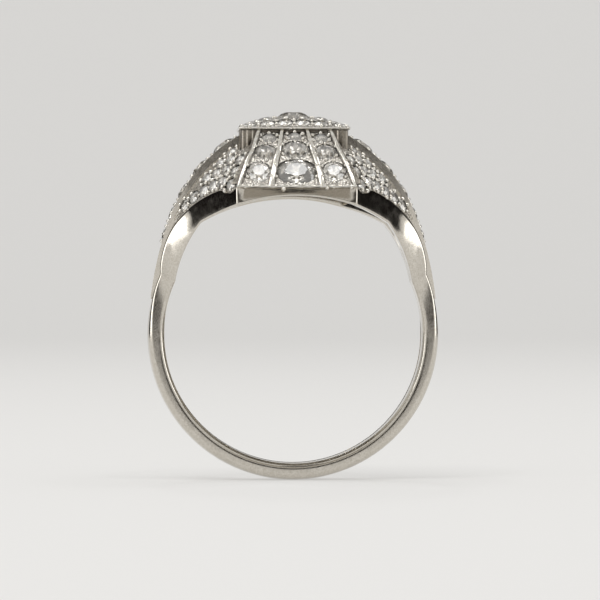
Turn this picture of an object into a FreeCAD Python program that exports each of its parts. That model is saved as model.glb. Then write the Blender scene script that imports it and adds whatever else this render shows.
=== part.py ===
import FreeCAD, Part
import math
import os

import Sketcher
from FreeCAD import Placement, Rotation, Vector

# A bombe cocktail ring: a finger band, two pierced gallery rails, a domed head with two three-column
# panels and a raised plaque, and two shoulders, each a raised rib between two pave flanks.
# Millimetres and degrees. The origin is the centre of the finger hole, +Y runs along the finger,
# +Z points to the plaque and +X to the right shoulder.

DIMENSIONS = {
    # Finger band: a shallow D section round the lower part of the finger hole.
    "bore_radius": 8.45,
    "band_thickness": 1.08,
    "band_width": 2.25,
    "band_bevel": 0.14,
    "band_crown": 0.15,
    "junction_angle": 66.0,
    # Gallery rails: the arches under the near and far edges of the head.
    "rail_top": 9.5,
    "rail_thickness": 0.75,
    "arch_half_span": 6.07,
    "arch_spring": 7.24,
    "arch_radius": 11.7,
    "arch_leg_radius": 8.6,
    "rail_shoulder_radius": 5.6,
    "tip_reach": 4.22,
    "tip_drop": 0.37,
    "hump_reach": 4.84,
    "hump_rise": 0.24,
    "rail_meeting": 7.0,
    # Plan of the head.
    "head_half_depth": 6.4,
    "head_half_width": 3.85,
    "sweep_radius": 16.8,
    # Plaque and its collet.
    "collet_half_length": 3.5,
    "collet_half_depth": 2.6,
    "collet_wall": 0.3,
    "collet_bottom": 11.7,
    "collet_top": 13.3,
    "plaque_overhang": 0.08,
    "plaque_rim": 0.18,
    "plaque_spigot": 0.3,
    "spigot_corner": 0.8,
    "dome_rise": 0.75,
    "plaque_centre_stone": 2.4,
    "plaque_side_stone": 1.25,
    "plaque_border_stone": 1.05,
    "plaque_margin": 0.16,
    # Panels: convex plates with three sunk columns between two bars.
    "panel_radius": 8.9,
    "panel_plate": 0.9,
    "panel_top_half_width": 2.4,
    "panel_bend": 0.32,
    "bar_top": 0.8,
    "bar_bottom": 1.66,
    "bar_top_width": 0.22,
    "bar_bottom_width": 0.36,
    "frame_width": 0.24,
    "channel_depth": 0.14,
    "panel_ledge": 0.2,
    "box_wall": 0.35,
    "panel_lower_length": 2.7,
    "panel_lower_width": 2.0,
    "panel_middle_stone": 1.8,
    "panel_upper_stone": 1.05,
    "panel_lower_side_stone": 1.6,
    "panel_middle_side_stone": 1.45,
    "panel_upper_side_stone": 1.1,
    # Shoulder ribs.
    "rib_top": 13.0,
    "rib_depth": 0.9,
    "rib_knee_reach": 7.92,
    "rib_knee_height": 7.92,
    "rib_upper_radius": 10.05,
    "rib_lower_radius": 21.3,
    "rib_underside_radius": 11.74,
    "rib_end_angle": 76.0,
    "rib_end_rise": 0.08,
    "rib_head_half_width": 1.12,
    "rib_knee_half_width": 0.95,
    "rib_toe_half_width": 0.5,
    "rib_row_length": 9.15,
    "rib_first_stone": 1.95,
    "rib_last_stone": 1.05,
    # Flanks: pave plates from the rib down to the rail.
    "flank_plate": 0.55,
    "flank_radius": 8.9,
    "rib_stand_head": 0.55,
    "rib_stand_toe": 0.25,
    "flank_end_reach": 7.7,
    "flank_length": 7.2,
    "flank_lead": 0.2,
    "flank_foot_lead": 1.3,
    "flank_run_on": 0.3,
    "groove_top": 0.1,
    "groove_bottom": 0.37,
    "pave_stone": 1.04,
    "pave_last_stone": 0.86,
    # Setting.
    "stone_gap": 0.09,
    "seat_clearance": 0.02,
}

RIB_STONES = 5
RIB_TAPER = 0.8
FLANK_ROWS = 4
FLANK_STATIONS = (0, 0.22, 0.48, 0.74, 1)
STATION_STEPS = 200
OVERRUN = 1.2
WHOLE_OBJECT = 4
NUDGE = 0.001
# A surface of 3 x 3 poles rises to a quarter of its middle pole.
POLE_OVER_RISE = 4
# An edge counts as upright when its unit direction has more than this of Z.
UPRIGHT_SHARE = 0.5

document = FreeCAD.newDocument("cocktail_ring")


# ---------------------------------------------------------------- the sheet and its sizes

def fill_sheet():
    """Writes each driving size to a cell of its own and gives the cell its name."""
    sheet = document.addObject("Spreadsheet::Sheet", "sizes")
    for row, (name, value) in enumerate(DIMENSIONS.items(), start=1):
        sheet.set(f"A{row}", name)
        sheet.set(f"B{row}", str(value))
        sheet.setAlias(f"B{row}", name)
    document.recompute()
    return sheet


class Size:
    """A size as a number and as the sheet expression that gives it, so that the two never part."""

    def __init__(self, value, text):
        self.value = float(value)
        self.text = text

    def __add__(self, other):
        other = as_size(other)
        return Size(self.value + other.value, f"({self.text} + {other.text})")

    def __sub__(self, other):
        other = as_size(other)
        return Size(self.value - other.value, f"({self.text} - {other.text})")

    def __mul__(self, other):
        other = as_size(other)
        return Size(self.value * other.value, f"({self.text} * {other.text})")

    def __truediv__(self, other):
        other = as_size(other)
        return Size(self.value / other.value, f"({self.text} / {other.text})")

    def __neg__(self):
        return Size(-self.value, f"(0 - {self.text})")


def as_size(item):
    return item if isinstance(item, Size) else Size(item, repr(float(item)))


def sine(angle):
    return Size(math.sin(math.radians(angle.value)), f"sin({angle.text})")


def cosine(angle):
    return Size(math.cos(math.radians(angle.value)), f"cos({angle.text})")


def leg(hypotenuse, other):
    """The third side of a right triangle."""
    value = math.sqrt(hypotenuse.value ** 2 - other.value ** 2)
    return Size(value, f"sqrt({hypotenuse.text} ^ 2 - {other.text} ^ 2)")


class Sizes:
    """The sheet's cells by name."""

    def __init__(self, sheet):
        for name in DIMENSIONS:
            setattr(self, name, Size(float(sheet.get(name)), f"sizes.{name}"))


size = Sizes(fill_sheet())


def bind(target, **properties):
    """Ties each named property of an object to the expression of a size."""
    for name, item in properties.items():
        target.setExpression(name, as_size(item).text)


# ---------------------------------------------------------------- sketches

FACING_FRONT = Rotation(Vector(1, 0, 0), 90)
FACING_RIGHT = Rotation(Vector(1, 1, 1), 120)


def arc_centre(start, end, radius):
    """Centre of the arc from start to end. A positive radius bulges to the right of the way."""
    across = (end - start) * 0.5
    left = Vector(-across.y, across.x, 0).normalize()
    drop = math.sqrt(radius ** 2 - across.Length ** 2)
    return start + across + left * drop * (1 if radius > 0 else -1)


def draw_outline(sketch, corners):
    """Draws a closed outline whose corners and radii are bound to the sheet.

    A corner is (across, up), or (across, up, radius) where the edge that leaves it is an arc.
    """
    first = sketch.GeometryCount
    points = [Vector(as_size(c[0]).value, as_size(c[1]).value, 0) for c in corners]
    starts = []
    ends = []
    for index, corner in enumerate(corners):
        here = points[index]
        there = points[(index + 1) % len(points)]
        if len(corner) == 2:
            sketch.addGeometry(Part.LineSegment(here, there), False)
            starts.append(1)
            ends.append(2)
            continue
        centre = arc_centre(here, there, corner[2].value)
        turns_left = corner[2].value > 0
        low, high = (here, there) if turns_left else (there, here)
        low_angle = math.atan2(low.y - centre.y, low.x - centre.x)
        high_angle = math.atan2(high.y - centre.y, high.x - centre.x)
        circle = Part.Circle(centre, Vector(0, 0, 1), abs(corner[2].value))
        sketch.addGeometry(Part.ArcOfCircle(circle, low_angle, high_angle), False)
        starts.append(1 if turns_left else 2)
        ends.append(2 if turns_left else 1)
    for index, corner in enumerate(corners):
        following = (index + 1) % len(corners)
        sketch.addConstraint(Sketcher.Constraint(
            "Coincident", first + index, ends[index], first + following, starts[following]))
        for kind, item in (("DistanceX", corner[0]), ("DistanceY", corner[1])):
            number = sketch.addConstraint(Sketcher.Constraint(
                kind, -1, 1, first + index, starts[index], as_size(item).value))
            sketch.setExpression(f"Constraints[{number}]", as_size(item).text)
        if len(corner) == 3:
            radius = corner[2] if corner[2].value > 0 else -corner[2]
            number = sketch.addConstraint(Sketcher.Constraint("Radius", first + index, radius.value))
            sketch.setExpression(f"Constraints[{number}]", radius.text)


def extrude(name, rotation, outlines, length):
    """A prism of closed outlines, reaching the same length to both sides of its sketch plane."""
    sketch = document.addObject("Sketcher::SketchObject", name + "_sketch")
    sketch.Placement = Placement(Vector(0, 0, 0), rotation)
    for corners in outlines:
        draw_outline(sketch, corners)
    prism = document.addObject("Part::Extrusion", name)
    prism.Base = sketch
    prism.DirMode = "Normal"
    prism.Solid = True
    prism.Symmetric = True
    bind(prism, LengthFwd=length)
    return prism


def common(name, first, second):
    result = document.addObject("Part::Common", name)
    result.Base = first
    result.Tool = second
    return result


def cut(name, base, *tools):
    """The base without each of the tools."""
    for number, tool in enumerate(tools, start=1):
        result = document.addObject("Part::Cut", name if number == len(tools) else f"{name}_{number}")
        result.Base = base
        result.Tool = tool
        base = result
    return base


def mirror(name, source, normal):
    result = document.addObject("Part::Mirroring", name)
    result.Source = source
    result.Normal = normal
    return result


def shape_feature(name, shape, placement=Placement()):
    feature = document.addObject("Part::Feature", name)
    feature.Shape = shape
    feature.Placement = placement
    return feature


# ---------------------------------------------------------------- named places worked out once

band_outer = size.bore_radius + size.band_thickness
junction_inner = (size.bore_radius * sine(size.junction_angle), size.bore_radius * cosine(size.junction_angle))
junction_outer = (band_outer * sine(size.junction_angle), band_outer * cosine(size.junction_angle))
band_half_width = size.band_width / 2
tip_height = size.rail_top - size.tip_drop
hump_height = tip_height + size.hump_rise
rib_underside = size.rib_top - size.rib_depth
everything = (size.head_half_depth + size.head_half_width) * WHOLE_OBJECT


knee_depth = (size.collet_half_depth + size.head_half_depth) / 2
far_depth = size.head_half_depth * OVERRUN
panel_inner_radius = size.panel_radius - size.panel_plate


def find_panel_centre():
    """Depth behind the middle and height of the centre of the panel's arc.

    The arc runs from the top of the collet, at its front, to the top of the rail, at the rim.
    """
    run = size.head_half_depth - size.collet_half_depth
    drop = size.collet_top - size.rail_top
    chord = Size(math.hypot(run.value, drop.value), f"sqrt({run.text} ^ 2 + {drop.text} ^ 2)")
    reach = leg(size.panel_radius, chord / 2) / chord
    return reach * drop - knee_depth, (size.collet_top + size.rail_top) / 2 - reach * run


panel_centre_depth, panel_centre_height = find_panel_centre()


def panel_height(depth, radius):
    """Height of the panel's arc of that radius at a depth in front of the middle."""
    return panel_centre_height + leg(radius, depth + panel_centre_depth)


def panel_depth(height, radius):
    """Depth of the panel's arc of that radius at a height."""
    return leg(radius, height - panel_centre_height) - panel_centre_depth


def side_line(top, bottom, depth):
    """How far out a line of the panel lies at a depth.

    In plan each line runs from top, at the collet, to bottom, at the rim of the head. It turns
    outward half way, so that it looks straight from the front on the convex plate.
    """
    knee = top + (bottom - top) * size.panel_bend
    half_run = knee_depth - size.collet_half_depth
    if depth.value <= knee_depth.value:
        return top + (knee - top) * (depth - size.collet_half_depth) / half_run
    return knee + (bottom - knee) * (depth - knee_depth) / half_run


def side_path(top, bottom, end_depth):
    """The corners of a line of the panel in plan, from the collet out."""
    return [(side_line(top, bottom, depth), -depth)
            for depth in (size.collet_half_depth, knee_depth, end_depth)]


def mirrored(path):
    """The same corners on the left, in the other order, so that an outline closes."""
    return [(-across, up) for across, up in reversed(path)]


# ---------------------------------------------------------------- finger band

def make_shank():
    """The finger band: a D section with small bevels, turned about the finger axis."""
    body = document.addObject("PartDesign::Body", "shank")
    planes = {feature.Role: feature for feature in body.Origin.OriginFeatures}
    section = body.newObject("Sketcher::SketchObject", "band_section")
    section.AttachmentSupport = (planes["YZ_Plane"], [""])
    section.MapMode = "FlatFace"
    half = band_half_width
    edge = -(band_outer - size.band_crown)
    crown_radius = (half * half + size.band_crown * size.band_crown) / (size.band_crown * 2)
    draw_outline(section, [
        (-half, edge, crown_radius),
        (half, edge),
        (half, -(size.bore_radius + size.band_bevel)),
        (half - size.band_bevel, -size.bore_radius),
        (-(half - size.band_bevel), -size.bore_radius),
        (-half, -(size.bore_radius + size.band_bevel)),
    ])
    turn = body.newObject("PartDesign::Revolution", "band_turn")
    turn.Profile = section
    turn.ReferenceAxis = (planes["Y_Axis"], [""])
    turn.Midplane = True
    bind(turn, Angle=(-size.junction_angle + 180) * 2)
    body.Tip = turn
    return body


# ---------------------------------------------------------------- gallery rails

def make_arch():
    """The side view of a rail, as a prism along the finger: arched below, humped at the shoulders."""
    right_up = [
        (junction_inner[0], junction_inner[1]),
        (junction_outer[0], junction_outer[1], size.rail_shoulder_radius),
        (size.hump_reach, hump_height),
        (size.tip_reach, tip_height),
        (size.head_half_width, size.rail_top),
    ]
    left_down = [
        (-size.head_half_width, size.rail_top),
        (-size.tip_reach, tip_height),
        (-size.hump_reach, hump_height, size.rail_shoulder_radius),
        (-junction_outer[0], junction_outer[1]),
        (-junction_inner[0], junction_inner[1], -size.arch_leg_radius),
        (-size.arch_half_span, size.arch_spring, -size.arch_radius),
        (size.arch_half_span, size.arch_spring, -size.arch_leg_radius),
    ]
    return extrude("rail_side_view", FACING_FRONT, [right_up + left_down], everything)


def make_rail_blank(arch):
    """The near rail before it is drilled: a straight front edge whose ends sweep back to the band."""
    inner_half_width = size.head_half_width - size.rail_thickness / 2
    inner_depth = size.head_half_depth - size.rail_thickness
    plan = extrude("rail_plan", Rotation(), [[
        (-size.head_half_width, -size.head_half_depth),
        (size.head_half_width, -size.head_half_depth, -size.sweep_radius),
        (junction_inner[0], -band_half_width),
        (band_outer, -band_half_width),
        (band_outer, 0),
        (size.rail_meeting, 0, size.sweep_radius),
        (inner_half_width, -inner_depth),
        (-inner_half_width, -inner_depth, size.sweep_radius),
        (-size.rail_meeting, 0),
        (-band_outer, 0),
        (-band_outer, -band_half_width),
        (-junction_inner[0], -band_half_width, -size.sweep_radius),
    ]], everything)
    return common("rail_blank", arch, plan)


def rail_top_height(reach):
    """Height of the shoulder's rail top at a distance out from the middle, up to its end."""
    hump = Vector(size.hump_reach.value, hump_height.value, 0)
    if reach < hump.x:
        rise = (hump.y - tip_height.value) / (hump.x - size.tip_reach.value)
        return hump.y + (reach - hump.x) * rise
    end = Vector(junction_outer[0].value, junction_outer[1].value, 0)
    radius = size.rail_shoulder_radius.value
    centre = arc_centre(end, hump, radius)
    return centre.y + math.sqrt(radius ** 2 - (reach - centre.x) ** 2)


def rim_depth(reach):
    """Depth of the head's rim in plan at a distance out from the middle, along the swept part."""
    corner = Vector(size.head_half_width.value, -size.head_half_depth.value, 0)
    end = Vector(junction_inner[0].value, -band_half_width.value, 0)
    radius = size.sweep_radius.value
    centre = arc_centre(corner, end, -radius)
    return -(centre.y + math.sqrt(radius ** 2 - (min(reach, end.x) - centre.x) ** 2))


# ---------------------------------------------------------------- box walls and collet

def make_collet():
    """The rectangular wall that carries the plaque."""
    body = document.addObject("PartDesign::Body", "plaque_collet")
    planes = {feature.Role: feature for feature in body.Origin.OriginFeatures}
    section = body.newObject("Sketcher::SketchObject", "collet_section")
    section.AttachmentSupport = (planes["XY_Plane"], [""])
    section.MapMode = "FlatFace"
    bind(section, **{"AttachmentOffset.Base.z": size.collet_bottom})
    for inset in (as_size(0), size.collet_wall):
        across = size.collet_half_length - inset
        along = size.collet_half_depth - inset
        draw_outline(section, [(-across, -along), (across, -along), (across, along), (-across, along)])
    pad = body.newObject("PartDesign::Pad", "collet_pad")
    pad.Profile = section
    bind(pad, Length=size.collet_top - size.collet_bottom)
    body.Tip = pad
    return body


def make_box_wall():
    """The right wall of the head's box, bent to follow the edges of both panels."""
    outer = side_path(size.panel_top_half_width, size.head_half_width, size.head_half_depth)
    inner = [(across - size.box_wall, up) for across, up in outer]
    near_half = list(reversed(outer)) + [(across, -up) for across, up in outer]
    far_half = [(across, -up) for across, up in reversed(inner)] + inner
    plan = extrude("box_wall_plan", Rotation(), [near_half + far_half], everything)
    near = size.collet_half_depth
    foot = panel_depth(size.rail_top, panel_inner_radius)
    shelf = panel_height(near, panel_inner_radius)
    side = extrude("box_wall_side_view", FACING_RIGHT, [[
        (-foot, size.rail_top),
        (foot, size.rail_top, panel_inner_radius),
        (near, shelf),
        (near, size.collet_bottom),
        (-near, size.collet_bottom),
        (-near, shelf, panel_inner_radius),
    ]], everything)
    return common("right_box_wall", plan, side)


# ---------------------------------------------------------------- panels

def make_panel_blank():
    """The near panel before its seats: a convex plate with three columns sunk between two bars."""
    near = size.collet_half_depth
    side = extrude("panel_side_view", FACING_RIGHT, [[
        (-near, size.collet_top, size.panel_radius),
        (-size.head_half_depth, size.rail_top),
        (-panel_depth(size.rail_top, panel_inner_radius), size.rail_top, -panel_inner_radius),
        (-near, panel_height(near, panel_inner_radius)),
    ]], everything)
    edge = side_path(size.panel_top_half_width, size.head_half_width, far_depth)
    plan = extrude("panel_plan", Rotation(), [edge + mirrored(edge)], everything)
    floor = size.panel_radius - size.channel_depth
    lid = size.panel_radius + size.channel_depth * OVERRUN
    low = size.rail_top + size.panel_ledge
    sunk = extrude("column_side_view", FACING_RIGHT, [[
        (-near, panel_height(near, lid), lid),
        (-panel_depth(low, lid), low),
        (-panel_depth(low, floor), low, -floor),
        (-near, panel_height(near, floor)),
    ]], everything)
    half_top = size.bar_top_width / 2
    half_bottom = size.bar_bottom_width / 2
    bar_inner = side_path(size.bar_top - half_top, size.bar_bottom - half_bottom, far_depth)
    bar_outer = side_path(size.bar_top + half_top, size.bar_bottom + half_bottom, far_depth)
    frame = side_path(size.panel_top_half_width - size.frame_width,
                      size.head_half_width - size.frame_width, far_depth)
    side_column = bar_outer + list(reversed(frame))
    columns = extrude("column_plan", Rotation(), [
        bar_inner + mirrored(bar_inner),
        side_column,
        [(-across, up) for across, up in side_column],
    ], everything)
    return cut("panel_blank", common("panel_plate_blank", side, plan), common("columns", sunk, columns))


def panel_place(along, column):
    """A point and outward normal on the floor of the near panel.

    along is the arc length up from the lower edge, and column is -1, 0 or 1.
    """
    radius = size.panel_radius.value
    centre = Vector(0, panel_centre_depth.value, panel_centre_height.value)
    angle = math.acos((size.rail_top.value - centre.z) / radius) - along / radius
    normal = Vector(0, -math.sin(angle), math.cos(angle))
    point = centre + normal * (radius - size.channel_depth.value)
    depth = as_size(-point.y)
    inner = side_line(size.bar_top + size.bar_top_width / 2,
                      size.bar_bottom + size.bar_bottom_width / 2, depth)
    outer = side_line(size.panel_top_half_width - size.frame_width,
                      size.head_half_width - size.frame_width, depth)
    point.x = column * (inner.value + outer.value) / 2
    return point, normal


# ---------------------------------------------------------------- shoulder ribs

rib_start = (size.collet_half_length, size.rib_top)
rib_knee = (size.rib_knee_reach, size.rib_knee_height)
rib_end_radius = band_outer + size.rib_end_rise
rib_end = (rib_end_radius * sine(size.rib_end_angle), rib_end_radius * cosine(size.rib_end_angle))


def make_rib_wedge():
    """The end view of a rib, as a prism across the ring: widest at the head, narrowest at the toe."""
    right = [
        (size.rib_toe_half_width, 0),
        (size.rib_toe_half_width, rib_end[1]),
        (size.rib_knee_half_width, size.rib_knee_height),
        (size.rib_head_half_width, size.rib_top),
        (size.rib_head_half_width, size.rib_top * OVERRUN),
    ]
    return extrude("rib_end_view", FACING_RIGHT, [right + mirrored(right)], everything)


def make_rib_blank(arch, wedge):
    """The right rib before its seats: a curved bar from the collet down to its toe on the band."""
    side = extrude("rib_side_view", FACING_FRONT, [[
        (rib_start[0], rib_start[1], -size.rib_upper_radius),
        (rib_knee[0], rib_knee[1], -size.rib_lower_radius),
        (rib_end[0], rib_end[1]),
        (band_outer * sine(size.rib_end_angle), band_outer * cosine(size.rib_end_angle), band_outer),
        (junction_outer[0], junction_outer[1], size.rib_underside_radius),
        (rib_start[0], rib_underside),
    ]], everything)
    return cut("rib_blank", common("rib_bar", side, wedge), arch)


def rib_place(along, lift=0.0):
    """A point and outward normal on top of the right rib, an arc length away from the collet."""
    start, knee, end = (Vector(across.value, 0, up.value) for across, up in (rib_start, rib_knee, rib_end))

    def on_arc(first, last, radius, distance):
        flat_first = Vector(first.x, first.z, 0)
        flat_last = Vector(last.x, last.z, 0)
        centre = arc_centre(flat_first, flat_last, -radius)
        angle = math.atan2(flat_first.y - centre.y, flat_first.x - centre.x) - distance / radius
        normal = Vector(math.cos(angle), 0, math.sin(angle))
        return Vector(centre.x, 0, centre.y) + normal * (radius + lift), normal

    upper = size.rib_upper_radius.value
    upper_length = 2 * upper * math.asin((knee - start).Length / 2 / upper)
    if along <= upper_length:
        return on_arc(start, knee, upper, along)
    return on_arc(knee, end, size.rib_lower_radius.value, along - upper_length)


# ---------------------------------------------------------------- flanks

def flank_arc(station):
    """The section of the right near flank at a station from 0, at the head, to 1, at the band.

    It is an arc from the foot of the rib to the rim: its centre, radius, first direction,
    second direction and the angle between its ends.
    """
    start = size.tip_reach.value - size.flank_lead.value
    reach = start + station * (size.flank_end_reach.value - start)
    rim = Vector(reach, -rim_depth(reach), rail_top_height(reach))
    stand = size.rib_stand_head.value * (1 - station) + size.rib_stand_toe.value * station
    along = station * size.flank_length.value - (1 - station) * size.flank_foot_lead.value
    foot, _ = rib_place(along, -stand)
    share = (foot.z - size.rib_knee_height.value) / (size.rib_top.value - size.rib_knee_height.value)
    foot.y = -(size.rib_knee_half_width.value
               + share * (size.rib_head_half_width.value - size.rib_knee_half_width.value))
    chord = rim - foot
    middle = (rim + foot) * 0.5
    outward = Vector(middle.x, 0, middle.z).normalize() + Vector(0, -1, 0)
    outward = (outward - chord * (outward.dot(chord) / chord.dot(chord))).normalize()
    radius = size.flank_radius.value
    centre = middle - outward * math.sqrt(radius ** 2 - (chord.Length / 2) ** 2)
    spread = 2 * math.asin(chord.Length / 2 / radius)
    first = (foot - centre).normalize()
    second = (chord - first * chord.dot(first)).normalize()
    return centre, radius, first, second, spread


def flank_point(station, angle_share, inset=0.0):
    """A point of a flank: angle_share is 0 at the foot of the rib and 1 at the rim."""
    centre, radius, first, second, spread = flank_arc(station)
    angle = spread * angle_share
    return centre + (first * math.cos(angle) + second * math.sin(angle)) * (radius - inset)


def flank_width(station):
    _, radius, _, _, spread = flank_arc(station)
    return radius * spread


def flank_normal(station, angle_share):
    down = flank_point(station, angle_share + NUDGE) - flank_point(station, angle_share - NUDGE)
    out = flank_point(station + NUDGE, angle_share) - flank_point(station - NUDGE, angle_share)
    return out.cross(down).normalize() * -1


def make_flank_loft():
    """A curved plate through five sections, which run on into the rib and the rail."""
    sections = []
    for station in FLANK_STATIONS:
        run_on = size.flank_run_on.value / flank_width(station)
        shares = (-run_on, 0.5, 1 + run_on)
        top = [flank_point(station, share) for share in shares]
        under = [flank_point(station, share, size.flank_plate.value) for share in shares]
        sections.append(Part.Wire([
            Part.Arc(*top).toShape(),
            Part.LineSegment(top[2], under[2]).toShape(),
            Part.Arc(*reversed(under)).toShape(),
            Part.LineSegment(under[0], top[0]).toShape(),
        ]))
    return shape_feature("flank_loft", Part.makeLoft(sections, True, False))


def make_flank_blank(arch, wedge):
    """The right near flank before its seats, cut to the rib, the rail, the panel and the collet."""
    line = side_path(size.panel_top_half_width + size.groove_top,
                     size.head_half_width + size.groove_bottom, far_depth)
    box = extrude("groove_plan", Rotation(), [line + mirrored(line)], everything)
    across = size.collet_half_length + size.seat_clearance
    along = size.collet_half_depth + size.seat_clearance
    collet = extrude("collet_plan", Rotation(),
                     [[(-across, -along), (across, -along), (across, along), (-across, along)]], everything)
    return cut("flank_blank", make_flank_loft(), wedge, arch, box, collet)


# ---------------------------------------------------------------- plaque

def make_plaque_blank():
    """The plaque before its seats: a pillow with four straight edges, on a spigot inside the collet."""
    half_length = size.collet_half_length.value + size.plaque_overhang.value
    half_depth = size.collet_half_depth.value + size.plaque_overhang.value
    seat = size.collet_top.value
    rim = seat + size.plaque_rim.value
    pillow = Part.BezierSurface()
    pillow.increase(2, 2)
    for row, across in enumerate((-half_length, 0, half_length), start=1):
        for place, depth in enumerate((-half_depth, 0, half_depth), start=1):
            swell = POLE_OVER_RISE * size.dome_rise.value if (row, place) == (2, 2) else 0
            pillow.setPole(row, place, Vector(across, depth, rim + swell))
    corners = [Vector(-half_length, -half_depth, 0), Vector(half_length, -half_depth, 0),
               Vector(half_length, half_depth, 0), Vector(-half_length, half_depth, 0)]
    low = [corner + Vector(0, 0, seat) for corner in corners]
    high = [corner + Vector(0, 0, rim) for corner in corners]
    faces = [pillow.toShape(), Part.Face(Part.makePolygon(low + low[:1]))]
    for index in range(4):
        after = (index + 1) % 4
        faces.append(Part.Face(Part.makePolygon(
            [low[index], low[after], high[after], high[index], low[index]])))
    shell = Part.makeShell(faces)
    shell.sewShape()
    across = size.collet_half_length.value - size.collet_wall.value - size.seat_clearance.value
    along = size.collet_half_depth.value - size.collet_wall.value - size.seat_clearance.value
    depth = size.plaque_spigot.value
    spigot = Part.makeBox(across * 2, along * 2, depth, Vector(-across, -along, seat - depth))
    upright_edges = [edge for edge in spigot.Edges
                     if abs(edge.tangentAt(edge.FirstParameter).z) > UPRIGHT_SHARE]
    spigot = spigot.makeFillet(size.spigot_corner.value, upright_edges)
    return shape_feature("plaque_blank", upright(Part.makeSolid(shell)).fuse(spigot).removeSplitter())


def upright(solid):
    """The same solid with its faces outward."""
    return solid if solid.Volume > 0 else solid.reversed()


def plaque_place(across, depth):
    """A point and outward normal on the plaque's pillow."""
    half_length = size.collet_half_length.value + size.plaque_overhang.value
    half_depth = size.collet_half_depth.value + size.plaque_overhang.value
    rise = size.dome_rise.value
    arch_across = 1 - (across / half_length) ** 2
    arch_along = 1 - (depth / half_depth) ** 2
    height = size.collet_top.value + size.plaque_rim.value + rise * arch_across * arch_along
    slope_across = -2 * rise * across / half_length ** 2 * arch_along
    slope_along = -2 * rise * depth / half_depth ** 2 * arch_across
    return Vector(across, depth, height), Vector(-slope_across, -slope_along, 1).normalize()


# ---------------------------------------------------------------- stones and their seats

# Shares of a stone's width.
CROWN = 0.16
GIRDLE = 0.025
PAVILION = 0.42
TABLE = 0.52
CULET = 0.05
STAR_REACH = 0.71
LOWER_REACH = 0.4
LARGE_STONE = 1.3
SUNK = 0.3
# A seat: its azure hole as a share of the stone's width, and how much steeper its bearing is.
AZURE = 0.28
BEARING_STEEPNESS = 1.1


def solid_of(polygons, stretch):
    """The solid inside flat faces, stretched along X."""
    faces = []
    for points in polygons:
        corners = [Vector(point.x * stretch, point.y, point.z) for point in points]
        faces.append(Part.Face(Part.makePolygon(corners + corners[:1])))
    shell = Part.makeShell(faces)
    shell.sewShape()
    return upright(Part.makeSolid(shell))


def ring(radius, height, sides, first_angle=0.0):
    """Corners of a level regular polygon."""
    angles = [first_angle + 2 * math.pi * corner / sides for corner in range(sides)]
    return [Vector(radius * math.cos(a), radius * math.sin(a), height) for a in angles]


def on_line(start, end, radius):
    """Height at a radius on the line between two (radius, height) points."""
    return start[1] + (radius - start[0]) / (end[0] - start[0]) * (end[1] - start[1])


def single_cut(width, stretch=1.0):
    """A small stone: a table, eight crown facets, a girdle, eight pavilion facets and a culet."""
    levels = [
        ring(TABLE * width / 2, CROWN * width, 8),
        ring(width / 2, 0, 8),
        ring(width / 2, -GIRDLE * width, 8),
        ring(CULET * width / 2, -(GIRDLE + PAVILION) * width, 8),
    ]
    polygons = [levels[0], levels[3]]
    for upper, lower in zip(levels, levels[1:]):
        for corner in range(8):
            after = (corner + 1) % 8
            polygons.append([upper[corner], upper[after], lower[after], lower[corner]])
    return solid_of(polygons, stretch)


def old_cut(width, stretch=1.0):
    """A larger stone: table, stars, kites and upper halves, then lower halves, mains and an open culet."""
    half = math.pi / 8
    girdle_radius = width / 2
    table_radius = TABLE * girdle_radius
    star_radius = STAR_REACH * girdle_radius
    lower_radius = LOWER_REACH * girdle_radius
    culet_radius = CULET * width
    crown_height = CROWN * width
    girdle_low = -GIRDLE * width
    culet_height = -(GIRDLE + PAVILION) * width
    star_height = on_line((table_radius, crown_height), (girdle_radius, 0), star_radius * math.cos(half))
    lower_height = on_line((girdle_radius, girdle_low), (culet_radius * math.cos(half), culet_height),
                           lower_radius * math.cos(half))
    table = ring(table_radius, crown_height, 8)
    star = ring(star_radius, star_height, 8, half)
    girdle = ring(girdle_radius, 0, 16)
    keel = ring(girdle_radius, girdle_low, 16)
    lower = ring(lower_radius, lower_height, 8, half)
    culet = ring(culet_radius, culet_height, 8, half)
    polygons = [table, culet]
    for main in range(8):
        before = (main - 1) % 8
        after = (main + 1) % 8
        point = 2 * main
        between = point + 1
        following = (point + 2) % 16
        polygons += [
            [table[main], table[after], star[main]],
            [table[main], star[before], girdle[point], star[main]],
            [star[main], girdle[point], girdle[between]],
            [star[main], girdle[between], girdle[following]],
            [girdle[point], girdle[between], keel[between], keel[point]],
            [girdle[between], girdle[following], keel[following], keel[between]],
            [keel[point], keel[between], lower[main]],
            [keel[between], keel[following], lower[main]],
            [keel[point], lower[main], culet[main], culet[before], lower[before]],
        ]
    return solid_of(polygons, stretch)


def seat_cutter(width, through):
    """What a seat takes out of the metal: a well for the girdle, a cone bearing and an azure hole.

    A blind one ends under the culet. It clears the tip of a stone in the metal behind its plate.
    """
    clearance = size.seat_clearance.value
    well = width / 2 + clearance
    shelf = -GIRDLE * width - clearance
    slope = BEARING_STEEPNESS * PAVILION * width / (width / 2 - CULET * width)
    hole = AZURE * width if through else CULET * width + clearance
    bearing_end = shelf - slope * (well - hole)
    bottom = bearing_end - (size.panel_plate.value if through else clearance)
    return Part.Face(Part.makePolygon([
        Vector(0, 0, width),
        Vector(well, 0, width),
        Vector(well, 0, shelf),
        Vector(hole, 0, bearing_end),
        Vector(hole, 0, bottom),
        Vector(0, 0, bottom),
        Vector(0, 0, width),
    ])).revolve(Vector(), Vector(0, 0, 1), 360)


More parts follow.
